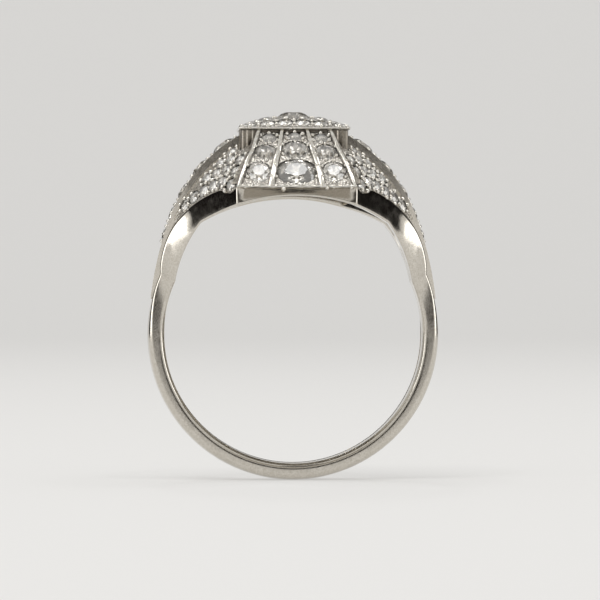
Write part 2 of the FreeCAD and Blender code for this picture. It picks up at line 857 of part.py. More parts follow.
class Stone:
    """A stone's place: a point of the surface that it is set in, the outward normal and its size."""

    def __init__(self, point, normal, width, length=None, heading=Vector(1, 0, 0)):
        self.width = width
        self.length = length or width
        across = heading - normal * heading.dot(normal)
        sink = -SUNK * CROWN * width
        self.place = Placement(point + normal * sink, Rotation(across, Vector(), normal, "ZXY"))

    def gem(self):
        """The stone at the origin, with its table up."""
        cut_stone = old_cut if self.width >= LARGE_STONE else single_cut
        return cut_stone(self.width, self.length / self.width)

    def placed_gem(self):
        gem = self.gem()
        gem.Placement = self.place
        return gem

    def cutter(self, through=True):
        """The seat's cutter in its place, stretched with the stone."""
        solid = seat_cutter(self.width, through)
        if self.length != self.width:
            stretch = FreeCAD.Matrix()
            stretch.scale(self.length / self.width, 1, 1)
            solid = solid.transformGeometry(stretch)
        solid.Placement = self.place
        return solid


def set_stones(plate_name, blank, stones):
    """Cuts a seat for each stone into a blank."""
    seats = shape_feature(plate_name + "_seats", Part.makeCompound([stone.cutter() for stone in stones]))
    return cut(plate_name, blank, seats)


def stone_feature(name, stones):
    """One stone with a placement of its own, or a group of separate stones."""
    if len(stones) == 1:
        return shape_feature(name, stones[0].gem(), stones[0].place)
    return shape_feature(name, Part.makeCompound([stone.placed_gem() for stone in stones]))


# ---------------------------------------------------------------- where the stones lie

def plaque_stones():
    """The plaque's stones by node name: a centre, one to each side and a border."""
    margin = size.plaque_margin.value + size.plaque_border_stone.value / 2
    half_row = size.collet_half_length.value - margin + size.plaque_overhang.value
    half_file = size.collet_half_depth.value - margin + size.plaque_overhang.value
    in_row = 6
    in_file = 4
    gap = size.stone_gap.value
    side = (size.plaque_centre_stone.value + size.plaque_side_stone.value) / 2 + gap / 2
    row = [half_row * (2 * place / (in_row - 1) - 1) for place in range(in_row)]
    file = [half_file * (2 * place / (in_file - 1) - 1) for place in range(1, in_file - 1)]

    def stone(across, depth, width):
        point, normal = plaque_place(across, depth)
        return Stone(point, normal, width)

    border = size.plaque_border_stone.value
    return {
        "plaque_centre_stone": [stone(0, 0, size.plaque_centre_stone.value)],
        "plaque_side_stones": [stone(across, 0, size.plaque_side_stone.value) for across in (-side, side)],
        "plaque_front_row": [stone(across, -half_file, border) for across in row],
        "plaque_back_row": [stone(across, half_file, border) for across in row],
        "plaque_left_file": [stone(-half_row, depth, border) for depth in file],
        "plaque_right_file": [stone(half_row, depth, border) for depth in file],
    }


def spread_along(start, end, widths):
    """Centres of stones of those widths in a row, with equal gaps between start and end."""
    gap = (end - start - sum(widths)) / (len(widths) + 1)
    centres = []
    edge = start + gap
    for width in widths:
        centres.append(edge + width / 2)
        edge += width + gap
    return centres


def panel_stones():
    """The near panel's stones by node name, from its lower edge up."""
    chord = Vector(0, (size.head_half_depth - size.collet_half_depth).value,
                   (size.collet_top - size.rail_top).value).Length
    radius = size.panel_radius.value
    full_length = 2 * radius * math.asin(chord / 2 / radius)
    middle_widths = (size.panel_lower_width.value, size.panel_middle_stone.value,
                     size.panel_upper_stone.value)
    side_widths = (size.panel_lower_side_stone.value, size.panel_middle_side_stone.value,
                   size.panel_upper_side_stone.value)
    stones = {"upper_row": []}
    for column, side, widths in ((-1, "left", side_widths), (0, "centre", middle_widths),
                                 (1, "right", side_widths)):
        places = spread_along(size.panel_ledge.value, full_length - size.stone_gap.value, widths)
        for tier, along, width in zip(("lower", "middle", "upper"), places, widths):
            point, normal = panel_place(along, column)
            oval = (tier, side) == ("lower", "centre")
            stone = Stone(point, normal, width, size.panel_lower_length.value if oval else None)
            if tier == "upper":
                stones["upper_row"].append(stone)
            else:
                stones[f"{tier}_{side}_stone"] = [stone]
    return stones


def rib_stones():
    """The right rib's stones, smaller and smaller down to its toe."""
    first = size.rib_first_stone.value
    last = size.rib_last_stone.value
    widths = [first + (last - first) * (place / (RIB_STONES - 1)) ** RIB_TAPER for place in range(RIB_STONES)]
    heading = Vector(0, 1, 0)
    stones = []
    for along, width in zip(spread_along(0, size.rib_row_length.value, widths), widths):
        point, normal = rib_place(along)
        stones.append(Stone(point, normal, width, heading=heading))
    return stones


def flank_rows():
    """The right near flank's stones in rows that follow the rim, the row at the rim first.

    A stone goes in where it keeps clear of the groove, the collet, the rib and the stones before it.
    """
    gap = size.stone_gap.value
    rows = []
    for row in range(FLANK_ROWS):
        stones = []
        for station in [step / STATION_STEPS for step in range(STATION_STEPS + 1)]:
            width = size.pave_stone.value + station * (size.pave_last_stone.value - size.pave_stone.value)
            inset = gap + (row + 0.5) * (width + gap)
            share = 1 - inset / flank_width(station)
            room = flank_width(station) * share
            if room < width / 2 + gap / 2:
                continue
            point = flank_point(station, share)
            if head_clearance(point) < width / 2 + gap:
                continue
            placed = [stone for earlier in rows for stone in earlier] + stones
            if all((point - other.surface).Length >= (width + other.width + gap) / 2 for other in placed):
                stone = Stone(point, flank_normal(station, share), width, heading=Vector(0, 1, -1))
                stone.surface = point
                stones.append(stone)
        rows.append(stones)
    return rows


def head_clearance(point):
    """Distance in plan from a point of the right near flank to the groove line and the collet."""
    depth = max(-point.y, size.collet_half_depth.value)
    top = size.panel_top_half_width + size.groove_top
    bottom = size.head_half_width + size.groove_bottom
    reach = side_line(top, bottom, as_size(depth)).value
    slope = (side_line(top, bottom, as_size(depth + NUDGE)).value - reach) / NUDGE
    to_groove = (point.x - reach) / math.hypot(1, slope)
    beside = point.x - size.collet_half_length.value
    in_front = -point.y - size.collet_half_depth.value
    to_collet = math.hypot(max(beside, 0), max(in_front, 0))
    return min(to_groove, to_collet) if beside > 0 or in_front > 0 else -1


# ---------------------------------------------------------------- assembly

ACROSS = Vector(1, 0, 0)
ALONG = Vector(0, 1, 0)


def build():
    """Makes every piece and returns the ones that are nodes, by name."""
    nodes = {}
    arch = make_arch()
    wedge = make_rib_wedge()
    nodes["shank"] = make_shank()
    nodes["plaque_collet"] = make_collet()
    nodes["right_box_wall"] = make_box_wall()
    nodes["left_box_wall"] = mirror("left_box_wall", nodes["right_box_wall"], ACROSS)

    groups = plaque_stones()
    every_stone = [stone for stones in groups.values() for stone in stones]
    nodes["plaque"] = set_stones("plaque", make_plaque_blank(), every_stone)
    for name, stones in groups.items():
        nodes[name] = stone_feature(name, stones)

    groups = panel_stones()
    every_stone = [stone for stones in groups.values() for stone in stones]
    nodes["front_panel"] = set_stones("front_panel", make_panel_blank(), every_stone)
    nodes["back_panel"] = mirror("back_panel", nodes["front_panel"], ALONG)
    for name, stones in groups.items():
        front = stone_feature("front_" + name, stones)
        nodes["front_" + name] = front
        nodes["back_" + name] = mirror("back_" + name, front, ALONG)

    stones = rib_stones()
    nodes["right_shoulder_rib"] = set_stones("right_shoulder_rib", make_rib_blank(arch, wedge), stones)
    nodes["left_shoulder_rib"] = mirror("left_shoulder_rib", nodes["right_shoulder_rib"], ACROSS)
    for number, stone in enumerate(stones, start=1):
        name = f"rib_stone_{number}"
        right = stone_feature("right_" + name, [stone])
        nodes["right_" + name] = right
        nodes["left_" + name] = mirror("left_" + name, right, ACROSS)

    rows = flank_rows()
    every_stone = [stone for row in rows for stone in row]
    tips = shape_feature("right_tips", Part.makeCompound(
        [stone.cutter(through=False) for stone in rows[0] + stones]))
    nodes["front_gallery_rail"] = cut("front_gallery_rail", make_rail_blank(arch), tips,
                                      mirror("left_tips", tips, ACROSS))
    nodes["back_gallery_rail"] = mirror("back_gallery_rail", nodes["front_gallery_rail"], ALONG)
    pieces = {
        "flank": set_stones("right_front_flank", make_flank_blank(arch, wedge), every_stone),
        "rim_pave": stone_feature("right_front_rim_pave", rows[0]),
        "middle_pave": stone_feature("right_front_middle_pave", rows[1]),
        "upper_pave": stone_feature("right_front_upper_pave", rows[2] + rows[3]),
    }
    for kind, right_front in pieces.items():
        nodes["right_front_" + kind] = right_front
        nodes["left_front_" + kind] = mirror("left_front_" + kind, right_front, ACROSS)
        nodes["right_back_" + kind] = mirror("right_back_" + kind, right_front, ALONG)
        nodes["left_back_" + kind] = mirror("left_back_" + kind, nodes["left_front_" + kind], ALONG)
    return nodes


def check(nodes):
    """Stops the build if any object failed or any piece is missing, empty or not valid."""
    for item in document.Objects:
        if "Invalid" in item.State or "Error" in item.State:
            raise RuntimeError(f"{item.Name} failed: {item.State}")
    for name, node in nodes.items():
        shape = node.Shape
        if shape.isNull() or not shape.Solids or not shape.isValid():
            raise RuntimeError(f"{name} is not a valid solid")


def main():
    nodes = build()
    for name, node in nodes.items():
        node.Label = name
    document.recompute()
    check(nodes)
    os.makedirs("parts", exist_ok=True)
    for name, node in nodes.items():
        node.Shape.exportStep(f"parts/{name}.step")
        print(name, len(node.Shape.Solids), "solid(s),", round(node.Shape.Volume, 3), "mm3")
    print(len(nodes), "nodes")


main()
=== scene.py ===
# %% [markdown]
# # A bombe cocktail ring in platinum and old-cut diamonds
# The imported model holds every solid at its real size. This lesson dresses it: polished platinum
# with fine wear, faceted stones, the little grains that hold them and the beaded edges between.
# We start by loading the model, because every later place is read from it.

# %% Load the frame
import math

import bmesh
import bpy
import mathutils
import numpy as np
from mathutils.bvhtree import BVHTree
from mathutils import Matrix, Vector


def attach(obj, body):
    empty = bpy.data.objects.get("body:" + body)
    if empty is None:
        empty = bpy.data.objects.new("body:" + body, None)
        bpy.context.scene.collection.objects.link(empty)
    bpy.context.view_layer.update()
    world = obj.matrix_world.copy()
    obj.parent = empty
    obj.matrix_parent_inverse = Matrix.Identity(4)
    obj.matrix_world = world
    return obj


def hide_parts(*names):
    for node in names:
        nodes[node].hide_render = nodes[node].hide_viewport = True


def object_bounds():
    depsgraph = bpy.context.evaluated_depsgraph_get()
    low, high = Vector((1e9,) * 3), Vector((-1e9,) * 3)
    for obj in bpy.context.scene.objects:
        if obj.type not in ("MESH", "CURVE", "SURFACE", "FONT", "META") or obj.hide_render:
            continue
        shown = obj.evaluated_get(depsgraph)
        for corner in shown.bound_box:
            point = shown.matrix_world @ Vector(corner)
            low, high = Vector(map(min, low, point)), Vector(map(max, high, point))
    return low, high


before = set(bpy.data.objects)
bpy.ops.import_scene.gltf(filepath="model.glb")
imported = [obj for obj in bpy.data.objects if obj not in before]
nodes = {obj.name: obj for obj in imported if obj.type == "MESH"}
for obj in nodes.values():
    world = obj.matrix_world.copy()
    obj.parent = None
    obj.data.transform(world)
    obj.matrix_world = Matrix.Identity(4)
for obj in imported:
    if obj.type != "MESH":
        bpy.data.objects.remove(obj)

cad_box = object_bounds()
MM = 0.001
print("nodes:", len(nodes))
print("box in mm:", [round(c / MM, 2) for corner in cad_box for c in corner])

# %% [markdown]
# ## Camera
# The ring is seen along the finger, a quarter of a metre away, from a touch to the left. A long
# lens keeps the band round. The aim point lies above the finger hole, so the ring stands low.

# %% Camera
CAMERA_DISTANCE = 250 * MM
CAMERA_YAW = math.radians(2.4)
CAMERA_PITCH = math.radians(0.4)
SENSOR = 36.0
FRAME_WIDTH = 39.3 * MM
aim = np.array([0.46, 0.0, 2.23]) * MM

camera_data = bpy.data.cameras.new("camera")
camera_data.sensor_width = SENSOR
camera_data.lens = SENSOR * CAMERA_DISTANCE / FRAME_WIDTH
camera_data.clip_start = 0.01
camera_data.clip_end = 10
camera = bpy.data.objects.new("camera", camera_data)
bpy.context.scene.collection.objects.link(camera)
back = np.array([-math.sin(CAMERA_YAW) * math.cos(CAMERA_PITCH),
                 -math.cos(CAMERA_YAW) * math.cos(CAMERA_PITCH),
                 math.sin(CAMERA_PITCH)])
camera.location = aim + back * CAMERA_DISTANCE
camera.rotation_euler = (math.pi / 2 - CAMERA_PITCH, 0, -CAMERA_YAW)
bpy.context.scene.camera = camera
print("lens", round(camera_data.lens, 1), "mm")

# %% [markdown]
# ## Helpers for materials
# Colours are written as the hex values that a paint shop would use. Cycles wants them linear, so
# one function turns them. A second one adds a node, its settings and its links in one line.

# %% Helpers for materials
def linear(hex_colour, alpha=1.0):
    """Linear RGBA of an sRGB hex: a channel c is c/12.92 when small, else ((c+0.055)/1.055)^2.4."""
    channels = np.array([int(hex_colour[i:i + 2], 16) for i in (1, 3, 5)]) / 255
    turned = np.where(channels <= 0.04045, channels / 12.92, ((channels + 0.055) / 1.055) ** 2.4)
    return (*turned.tolist(), alpha)


def add(tree, kind, inputs=None, **settings):
    """Adds a node. inputs maps a socket's name or number to a value or to another node's output."""
    node = tree.nodes.new(kind)
    for name, value in settings.items():
        setattr(node, name, value)
    for socket, value in (inputs or {}).items():
        if isinstance(value, bpy.types.NodeSocket):
            tree.links.new(value, node.inputs[socket])
        else:
            node.inputs[socket].default_value = value
    return node


def new_material(name):
    """An empty material and its node tree."""
    material = bpy.data.materials.new(name)
    material.use_nodes = True
    material.node_tree.nodes.clear()
    return material, material.node_tree


print("pure white is", linear("#ffffff"))

# %% [markdown]
# ## Helpers for pieces
# Most pieces here are sheets or tubes, so their points lie in a grid of rows and columns. One
# function numbers the faces of such a grid and another turns points and faces into an object.

# %% Helpers for pieces
def grid_faces(rows, columns, close_rows=False, close_columns=False):
    """Quads of a rows by columns grid of points, numbered row after row."""
    row = np.arange(rows if close_rows else rows - 1)[:, None]
    column = np.arange(columns if close_columns else columns - 1)[None, :]
    after_row = (row + 1) % rows
    after_column = (column + 1) % columns
    quads = [row * columns + column, row * columns + after_column,
             after_row * columns + after_column, after_row * columns + column]
    return np.stack([np.broadcast_to(q, (row.size, column.size)).ravel() for q in quads], axis=1)


def make_piece(name, points, faces, material, smooth=True):
    """A mesh object at the origin from an (n, 3) array of points and lists of corner numbers."""
    mesh = bpy.data.meshes.new(name)
    mesh.from_pydata(points.reshape(-1, 3), [], [list(map(int, face)) for face in faces])
    mesh.polygons.foreach_set("use_smooth", np.full(len(mesh.polygons), smooth))
    mesh.materials.append(material)
    mesh.update()
    piece = bpy.data.objects.new(name, mesh)
    bpy.context.scene.collection.objects.link(piece)
    return piece


print("a grid of 3 x 3 points has", len(grid_faces(3, 3)), "faces")

# %% [markdown]
# ## Paper sweep
# The ring stands on a sheet of pale paper that runs back and curves up behind it, so no line shows
# where the floor ends. It is one profile drawn out sideways. The paper shines a little by itself
# towards the camera, the metal and the stones, and so stays an even pale grey.

# %% Paper sweep
FLOOR_HEIGHT = cad_box[0].z
SWEEP_NEAR = -0.9
SWEEP_FAR = 0.55
SWEEP_CURVE = 0.25
SWEEP_TOP = 0.32
SWEEP_WIDTH = 1.3
PAPER_GLOW = 0.5


def background_share(tree):
    """1 for rays from the camera, off glossy metal or through a stone, which see the backdrop."""
    path = add(tree, "ShaderNodeLightPath")
    seen = add(tree, "ShaderNodeMath",
               {0: path.outputs["Is Camera Ray"], 1: path.outputs["Is Transmission Ray"]},
               operation="MAXIMUM")
    either = add(tree, "ShaderNodeMath", {0: seen.outputs[0], 1: path.outputs["Is Glossy Ray"]},
                 operation="MAXIMUM")
    return either.outputs[0]


# Uncoated paper: so rough that nothing mirrors in it, and it reads as one even ground.
paper, tree = new_material("paper_sweep")
shader = add(tree, "ShaderNodeBsdfPrincipled", {"Base Color": linear("#e4e3e1"), "Roughness": 0.9})
glow = add(tree, "ShaderNodeEmission", {"Color": linear("#ecebe9"), "Strength": 1.0})
share = add(tree, "ShaderNodeMath", {0: background_share(tree), 1: PAPER_GLOW},
            operation="MULTIPLY")
mixed = add(tree, "ShaderNodeMixShader",
            {0: share.outputs[0], 1: shader.outputs[0], 2: glow.outputs[0]})
add(tree, "ShaderNodeOutputMaterial", {"Surface": mixed.outputs[0]})

across = np.linspace(-SWEEP_WIDTH / 2, SWEEP_WIDTH / 2, 2)
bend = np.linspace(0, math.pi / 2, 24)
run = np.concatenate([[SWEEP_NEAR], SWEEP_FAR + SWEEP_CURVE * np.sin(bend),
                      [SWEEP_FAR + SWEEP_CURVE]])
rise = FLOOR_HEIGHT + np.concatenate([[0], SWEEP_CURVE * (1 - np.cos(bend)), [SWEEP_TOP]])
points = np.stack(np.broadcast_arrays(across[None, :], run[:, None], rise[:, None]), axis=-1)
sweep = make_piece("paper_sweep", points, grid_faces(len(run), len(across)), paper)
print("sweep", sweep.dimensions[:])

# %% [markdown]
# ## Room
# Polished metal shows nothing but its surroundings, and here they are pale all round: the camera
# sees a plain pale wall, and so do the metal and the stones. Only the soft light that reaches dull
# surfaces comes from a dimmer room.

# %% Room
world = bpy.data.worlds.new("studio")
bpy.context.scene.world = world
world.use_nodes = True
tree = world.node_tree
tree.nodes.clear()
room = add(tree, "ShaderNodeBackground", {"Color": linear("#cbcac8"), "Strength": 1.0})
wall = add(tree, "ShaderNodeBackground", {"Color": linear("#dcdbd8"), "Strength": 1.0})
choice = add(tree, "ShaderNodeMixShader",
             {0: background_share(tree), 1: room.outputs[0], 2: wall.outputs[0]})
add(tree, "ShaderNodeOutputWorld", {"Surface": choice.outputs[0]})
print("room: pale walls all round")

# %% [markdown]
# ## Dark cards
# A ring in an all-white room looks like plaster. So dark cards stand round it, out of view, and the
# metal shows them as dark streaks. One stands at each side towards the back, and two greyer ones
# behind the camera. Smaller black ones hang above, which the cut stones pick up.

# %% Dark cards
CARD_DISTANCE = 0.36


def dark_card(name, turn, rise, size, tone="#100f0f"):
    """A flat card that faces the ring, turn degrees from +X towards +Y and rise degrees up."""
    # Matt painted card: it has no shine of its own, so its streak is one even tone.
    card_material, tree = new_material(name)
    shader = add(tree, "ShaderNodeBsdfPrincipled",
                 {"Base Color": linear(tone), "Roughness": 1.0, "Specular IOR Level": 0.0})
    add(tree, "ShaderNodeOutputMaterial", {"Surface": shader.outputs[0]})
    turn, rise = math.radians(turn), math.radians(rise)
    out = np.array([math.cos(turn) * math.cos(rise), math.sin(turn) * math.cos(rise),
                    math.sin(rise)])
    side = np.array([-math.sin(turn), math.cos(turn), 0.0])
    corners = np.array([[-1, -1], [1, -1], [1, 1], [-1, 1]]) * np.array(size) / 2
    points = out * CARD_DISTANCE + corners[:, :1] * side + corners[:, 1:] * np.cross(out, side)
    card = make_piece(name, points, [(0, 1, 2, 3)], card_material, smooth=False)
    card.visible_camera = False
    card.visible_diffuse = False
    card.visible_shadow = False


SIDE_CARD = ((0.36, 0.26), "#1a1817")
ABOVE_CARDS = [(-35, 40, 0.07, 0.2), (-90, 35, 0.06, 0.16), (-145, 40, 0.07, 0.2),
               (90, 40, 0.3, 0.1)]
dark_card("card_right", 24, 4, *SIDE_CARD)
dark_card("card_left", 156, 4, *SIDE_CARD)
dark_card("card_camera", -90, -5, (0.3, 0.2), "#474441")
dark_card("card_over_camera", -90, 26, (0.2, 0.12), "#b5b0a8")
for number, (turn, rise, width, height) in enumerate(ABOVE_CARDS, start=1):
    dark_card(f"card_above_{number}", turn, rise, (width, height))
print("dark cards out of view:", 4 + len(ABOVE_CARDS))

# %% [markdown]
# ## Soft boxes
# The lamps are large and close, so their edges are soft. A lamp's brightness in a mirror is its
# power over pi times its area, and the boxes are set from that: about twice as bright as white
# paper, so they show in the metal as its brightest streaks.

# %% Soft boxes
def soft_box(name, place, size, brightness, target=(0, 0, 4 * MM)):
    """A rectangular lamp that faces the ring: power = brightness x pi x area."""
    lamp = bpy.data.lights.new(name, "AREA")
    lamp.shape = "RECTANGLE"
    lamp.size, lamp.size_y = size
    lamp.energy = brightness * math.pi * size[0] * size[1]
    holder = bpy.data.objects.new(name, lamp)
    holder.location = place
    towards = mathutils.Vector(target) - mathutils.Vector(place)
    holder.rotation_euler = towards.to_track_quat("-Z", "Y").to_euler()
    bpy.context.scene.collection.objects.link(holder)
    print(name, round(lamp.energy, 2), "W")


soft_box("top_box", (-0.1, -0.14, 0.43), (0.24, 0.2), 2.4)
soft_box("left_box", (-0.385, -0.2, 0.06), (0.3, 0.2), 1.8)
soft_box("right_box", (0.385, -0.2, 0.07), (0.28, 0.2), 1.7)

# %% [markdown]
# ## Pin lamps
# Cut stones need small bright lamps as well as large ones. Each lamp shows in only a few facets,
# so some flash white while their neighbours stay grey.

# %% Pin lamps
PIN_DISTANCE = 0.4
PIN_SIZE = 0.045
PIN_BRIGHTNESS = 14.0
PIN_TURN = np.radians([15, 95, 160, 230, 300])
PIN_RISE = np.radians([62, 48, 70, 55, 66])
for number, (turn, rise) in enumerate(zip(PIN_TURN, PIN_RISE), start=1):
    place = PIN_DISTANCE * np.array([math.cos(turn) * math.cos(rise),
                                     math.sin(turn) * math.cos(rise), math.sin(rise)])
    soft_box(f"pin_{number}", place.tolist(), (PIN_SIZE, PIN_SIZE), PIN_BRIGHTNESS)

# %% [markdown]
# ## Platinum
# Platinum is a warm grey-white metal. The jeweller sawed and filed the pieces, polished them, and
# wear has drawn fine scratches over them. The scratches are about 0.02 mm apart on the real ring,
# too fine to show, so they are drawn about five times as coarse.

# %% Platinum
SCRATCH_SPACING = 0.1 * MM
SCRATCH_DEPTH = 0.02 * MM
SCRATCH_STRETCH = (1.0, 0.3, 1.0)
WEAR_PATCH = 0.45 * MM
PAINTED_SHADE_FULL = 0.3
PAINTED_SHADE_NONE = 0.85


def painted_shade_and_grime(tree, clean, reach):
    """The clean colour, turned brown-black where other surfaces lie within reach, as in a seat:
    painted shade, with some grime.
    """
    open_air = add(tree, "ShaderNodeAmbientOcclusion", {"Distance": reach}, samples=8)
    share = add(tree, "ShaderNodeMapRange",
                {"Value": open_air.outputs["AO"], 1: PAINTED_SHADE_FULL, 2: PAINTED_SHADE_NONE, 3: 1.0, 4: 0.0})
    # Brown-black painted shade, deepest where the ambient occlusion finds surfaces close around.
    return add(tree, "ShaderNodeMix",
               {0: share.outputs[0], 6: clean, 7: linear("#2e2822")}, data_type="RGBA").outputs[2]


def polished_platinum(name, colour="#d9d4cb", roughness=0.12, scratch=0.045, painted_shade_reach=None):
    """Platinum with fine scratches, worn patches that are 0.8 to 1.45 times as rough, and painted
    shade with some grime in its hollows.
    """
    material, tree = new_material(name)
    place = add(tree, "ShaderNodeTexCoord")
    stretched = add(tree, "ShaderNodeMapping", {0: place.outputs["Object"], 3: SCRATCH_STRETCH})
    scratches = add(tree, "ShaderNodeTexNoise",
                    {"Vector": stretched.outputs[0], "Scale": 1 / SCRATCH_SPACING, "Detail": 5.0,
                     "Roughness": 0.75})
    wear = add(tree, "ShaderNodeTexNoise",
               {"Vector": place.outputs["Object"], "Scale": 1 / WEAR_PATCH, "Detail": 5.0,
                "Roughness": 0.7})
    rough = add(tree, "ShaderNodeMapRange",
                {"Value": wear.outputs["Fac"], 1: 0.35, 2: 0.65, 3: roughness * 0.8,
                 4: roughness * 1.45})
    tint = add(tree, "ShaderNodeMapRange",
               {"Value": scratches.outputs["Fac"], 1: 0.4, 2: 0.62, 3: 0.0, 4: 1.0})
    base = add(tree, "ShaderNodeMix",
               {0: tint.outputs[0], 6: linear(colour), 7: linear("#c6c0b5")}, data_type="RGBA")
    bump = add(tree, "ShaderNodeBump", {"Height": scratches.outputs["Fac"], "Strength": scratch,
                                        "Distance": SCRATCH_DEPTH})
    tone = painted_shade_and_grime(tree, base.outputs[2], painted_shade_reach) if painted_shade_reach else base.outputs[2]
    shader = add(tree, "ShaderNodeBsdfPrincipled",
                 {"Base Color": tone, "Roughness": rough.outputs[0], "Normal": bump.outputs[0],
                  "Metallic": 1.0})
    add(tree, "ShaderNodeOutputMaterial", {"Surface": shader.outputs[0]})
    return material


# Buffed and worn: the band, rails, ribs and walls, with long soft streaks.
platinum = polished_platinum("platinum_polished")
# Cut with a polished graver: whiter and sharper, for the grains, bars, frames and rims.
bright_cut = polished_platinum("platinum_bright_cut", "#e9e7e2", 0.1, 0.05)
# Left as rolled and dull, for the collet, which a buff hardly reaches. Its darker colour and the
# brown-black in its hollows are painted shade from the plaque above.
unpolished_and_shaded = polished_platinum("platinum_unpolished_and_shaded", "#a89f92", 0.3, 0.1, 1.2 * MM)
# Never polished, and painted near-black as the shade down in the slots, so the slots read as dark
# lines.
slot_painted_shade = polished_platinum("platinum_painted_shade_in_slot", "#3d3832", 0.5, 0.1, 0.5 * MM)
print("platinum:", [m.name for m in (platinum, bright_cut, unpolished_and_shaded, slot_painted_shade)])

# %% [markdown]
# ## Graver-cut platinum
# Between the stones the metal isn't polished flat. The setter's graver has cut it away in short
# strokes about a tenth of a millimetre wide, and each stroke is a small mirror with its own tilt.
# They are drawn a little coarser, at 0.16 mm, so that single strokes can still be made out.

# %% Graver-cut platinum
STROKE_WIDTH = 0.16 * MM
STROKE_DEPTH = 0.06 * MM
SEAT_PAINTED_SHADE = 0.3 * MM
# Cut in strokes: it glitters in small patches instead of mirroring the room as one sheet.
graver_cut, tree = new_material("platinum_graver_cut")
place = add(tree, "ShaderNodeTexCoord")
strokes = add(tree, "ShaderNodeTexVoronoi",
              {"Vector": place.outputs["Object"], "Scale": 1 / STROKE_WIDTH},
              feature="F1", distance="CHEBYCHEV")
grit = add(tree, "ShaderNodeTexNoise",
           {"Vector": place.outputs["Object"], "Scale": 2 / STROKE_WIDTH, "Detail": 2.0})
height = add(tree, "ShaderNodeMath", {0: strokes.outputs["Distance"], 1: grit.outputs["Fac"]},
             operation="ADD")
bump = add(tree, "ShaderNodeBump",
           {"Height": height.outputs[0], "Strength": 0.8, "Distance": STROKE_DEPTH})
tone = add(tree, "ShaderNodeMapRange",
           {"Value": grit.outputs["Fac"], 1: 0.35, 2: 0.65, 3: 0.0, 4: 1.0})
base = add(tree, "ShaderNodeMix",
           {0: tone.outputs[0], 6: linear("#8f8a82"), 7: linear("#e2ded7")}, data_type="RGBA")
# The colour turns brown-black round the seats, where other surfaces lie near: painted shade, with
# some grime.
shader = add(tree, "ShaderNodeBsdfPrincipled",
             {"Base Color": painted_shade_and_grime(tree, base.outputs[2], SEAT_PAINTED_SHADE), "Roughness": 0.2,
              "Metallic": 1.0, "Normal": bump.outputs[0]})
add(tree, "ShaderNodeOutputMaterial", {"Surface": shader.outputs[0]})
print("graver strokes", round(STROKE_WIDTH / MM, 2), "mm wide")

# %% [markdown]
# ## Diamond
# Diamond bends light more than any common glass, with an index of 2.42. The stones are old: their
# facets were polished by hand and their culets left open, so they look grey and milky in places.
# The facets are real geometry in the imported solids, so the stones need only a clear material.

# %% Diamond
CLOUDS_PER_METRE = 1400.0
MOST_HAZE = 0.06


def has_word(name, *words):
    """Whether any of the words is part of the name."""
    return any(word in name for word in words)


# Old-cut diamond: clear, with a faint uneven haze that takes the glassy look off.
diamond, tree = new_material("diamond_old_cut")
place = add(tree, "ShaderNodeTexCoord")
cloud = add(tree, "ShaderNodeTexNoise",
            {"Vector": place.outputs["Object"], "Scale": CLOUDS_PER_METRE, "Detail": 2.0})
haze = add(tree, "ShaderNodeMapRange",
           {"Value": cloud.outputs["Fac"], 1: 0.4, 2: 0.7, 3: 0.0, 4: MOST_HAZE})
shader = add(tree, "ShaderNodeBsdfPrincipled",
             {"Base Color": linear("#faf6ee"), "Roughness": haze.outputs[0], "IOR": 2.42,
              "Transmission Weight": 0.9})
add(tree, "ShaderNodeOutputMaterial", {"Surface": shader.outputs[0]})

stone_nodes = [name for name in nodes if has_word(name, "stone", "pave", "_row", "_file")]
metal_nodes = [name for name in nodes if name not in stone_nodes]
for name in stone_nodes:
    nodes[name].material_slots[0].material = diamond
for name in metal_nodes:
    nodes[name].material_slots[0].material = platinum
print("stones in", len(stone_nodes), "nodes; metal in", len(metal_nodes))

# %% [markdown]
# ## Where the stones lie
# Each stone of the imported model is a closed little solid. Its table is its largest flat facet, and
# its girdle is its widest ring. From these we read every stone's centre, axis and half widths, and
# the grains that hold it go round it.

# %% Measure the stones
GIRDLE_SHARE = 0.7


def loose_pieces(mesh):
    """Corners (mm), triangles, and each triangle's loose piece: the lowest number joined to it."""
    corners = np.empty(len(mesh.vertices) * 3)
    mesh.vertices.foreach_get("co", corners)
    spots, merged = np.unique(np.round(corners.reshape(-1, 3) / MM, 4), axis=0,
                              return_inverse=True)
    mesh.calc_loop_triangles()
    triangles = np.empty(len(mesh.loop_triangles) * 3, dtype=int)
    mesh.loop_triangles.foreach_get("vertices", triangles)
    triangles = merged.ravel()[triangles].reshape(-1, 3)
    label = np.arange(len(spots))
    settled = False
    while not settled:
        lowest = label[triangles].min(axis=1)
        new = label.copy()
        np.minimum.at(new, triangles.ravel(), np.repeat(lowest, 3))
        new = new[new]
        settled = bool((new == label).all())
        label = new
    return spots, triangles, label[triangles[:, 0]]


def measure_stone(spots, triangles):
    """Table normal, girdle centre, two half widths and their directions of one stone, in mm."""
    a, b, c = (spots[triangles[:, corner]] for corner in range(3))
    doubled = np.cross(b - a, c - a)
    areas = np.linalg.norm(doubled, axis=1)
    normals = np.round(doubled / areas[:, None], 2)
    _, group = np.unique(normals, axis=0, return_inverse=True)
    totals = np.bincount(group.ravel(), weights=areas)
    facet = group.ravel() == totals.argmax()
    axis = doubled[facet].sum(axis=0)
    axis /= np.linalg.norm(axis)
    points = spots[np.unique(triangles)]
    table = spots[np.unique(triangles[facet])].mean(axis=0)
    away = points - table
    off = np.linalg.norm(away - np.outer(away @ axis, axis), axis=1)
    girdle = points[off > GIRDLE_SHARE * off.max()]
    centre = (girdle.max(axis=0) + girdle.min(axis=0)) / 2
    centre = table + axis * ((centre - table) @ axis)
    along = np.array([1.0, 0, 0]) - axis * axis[0]
    along /= np.linalg.norm(along)
    across = np.cross(axis, along)
    spread = points - centre
    return axis, centre, np.abs(spread @ along).max(), np.abs(spread @ across).max(), along, across


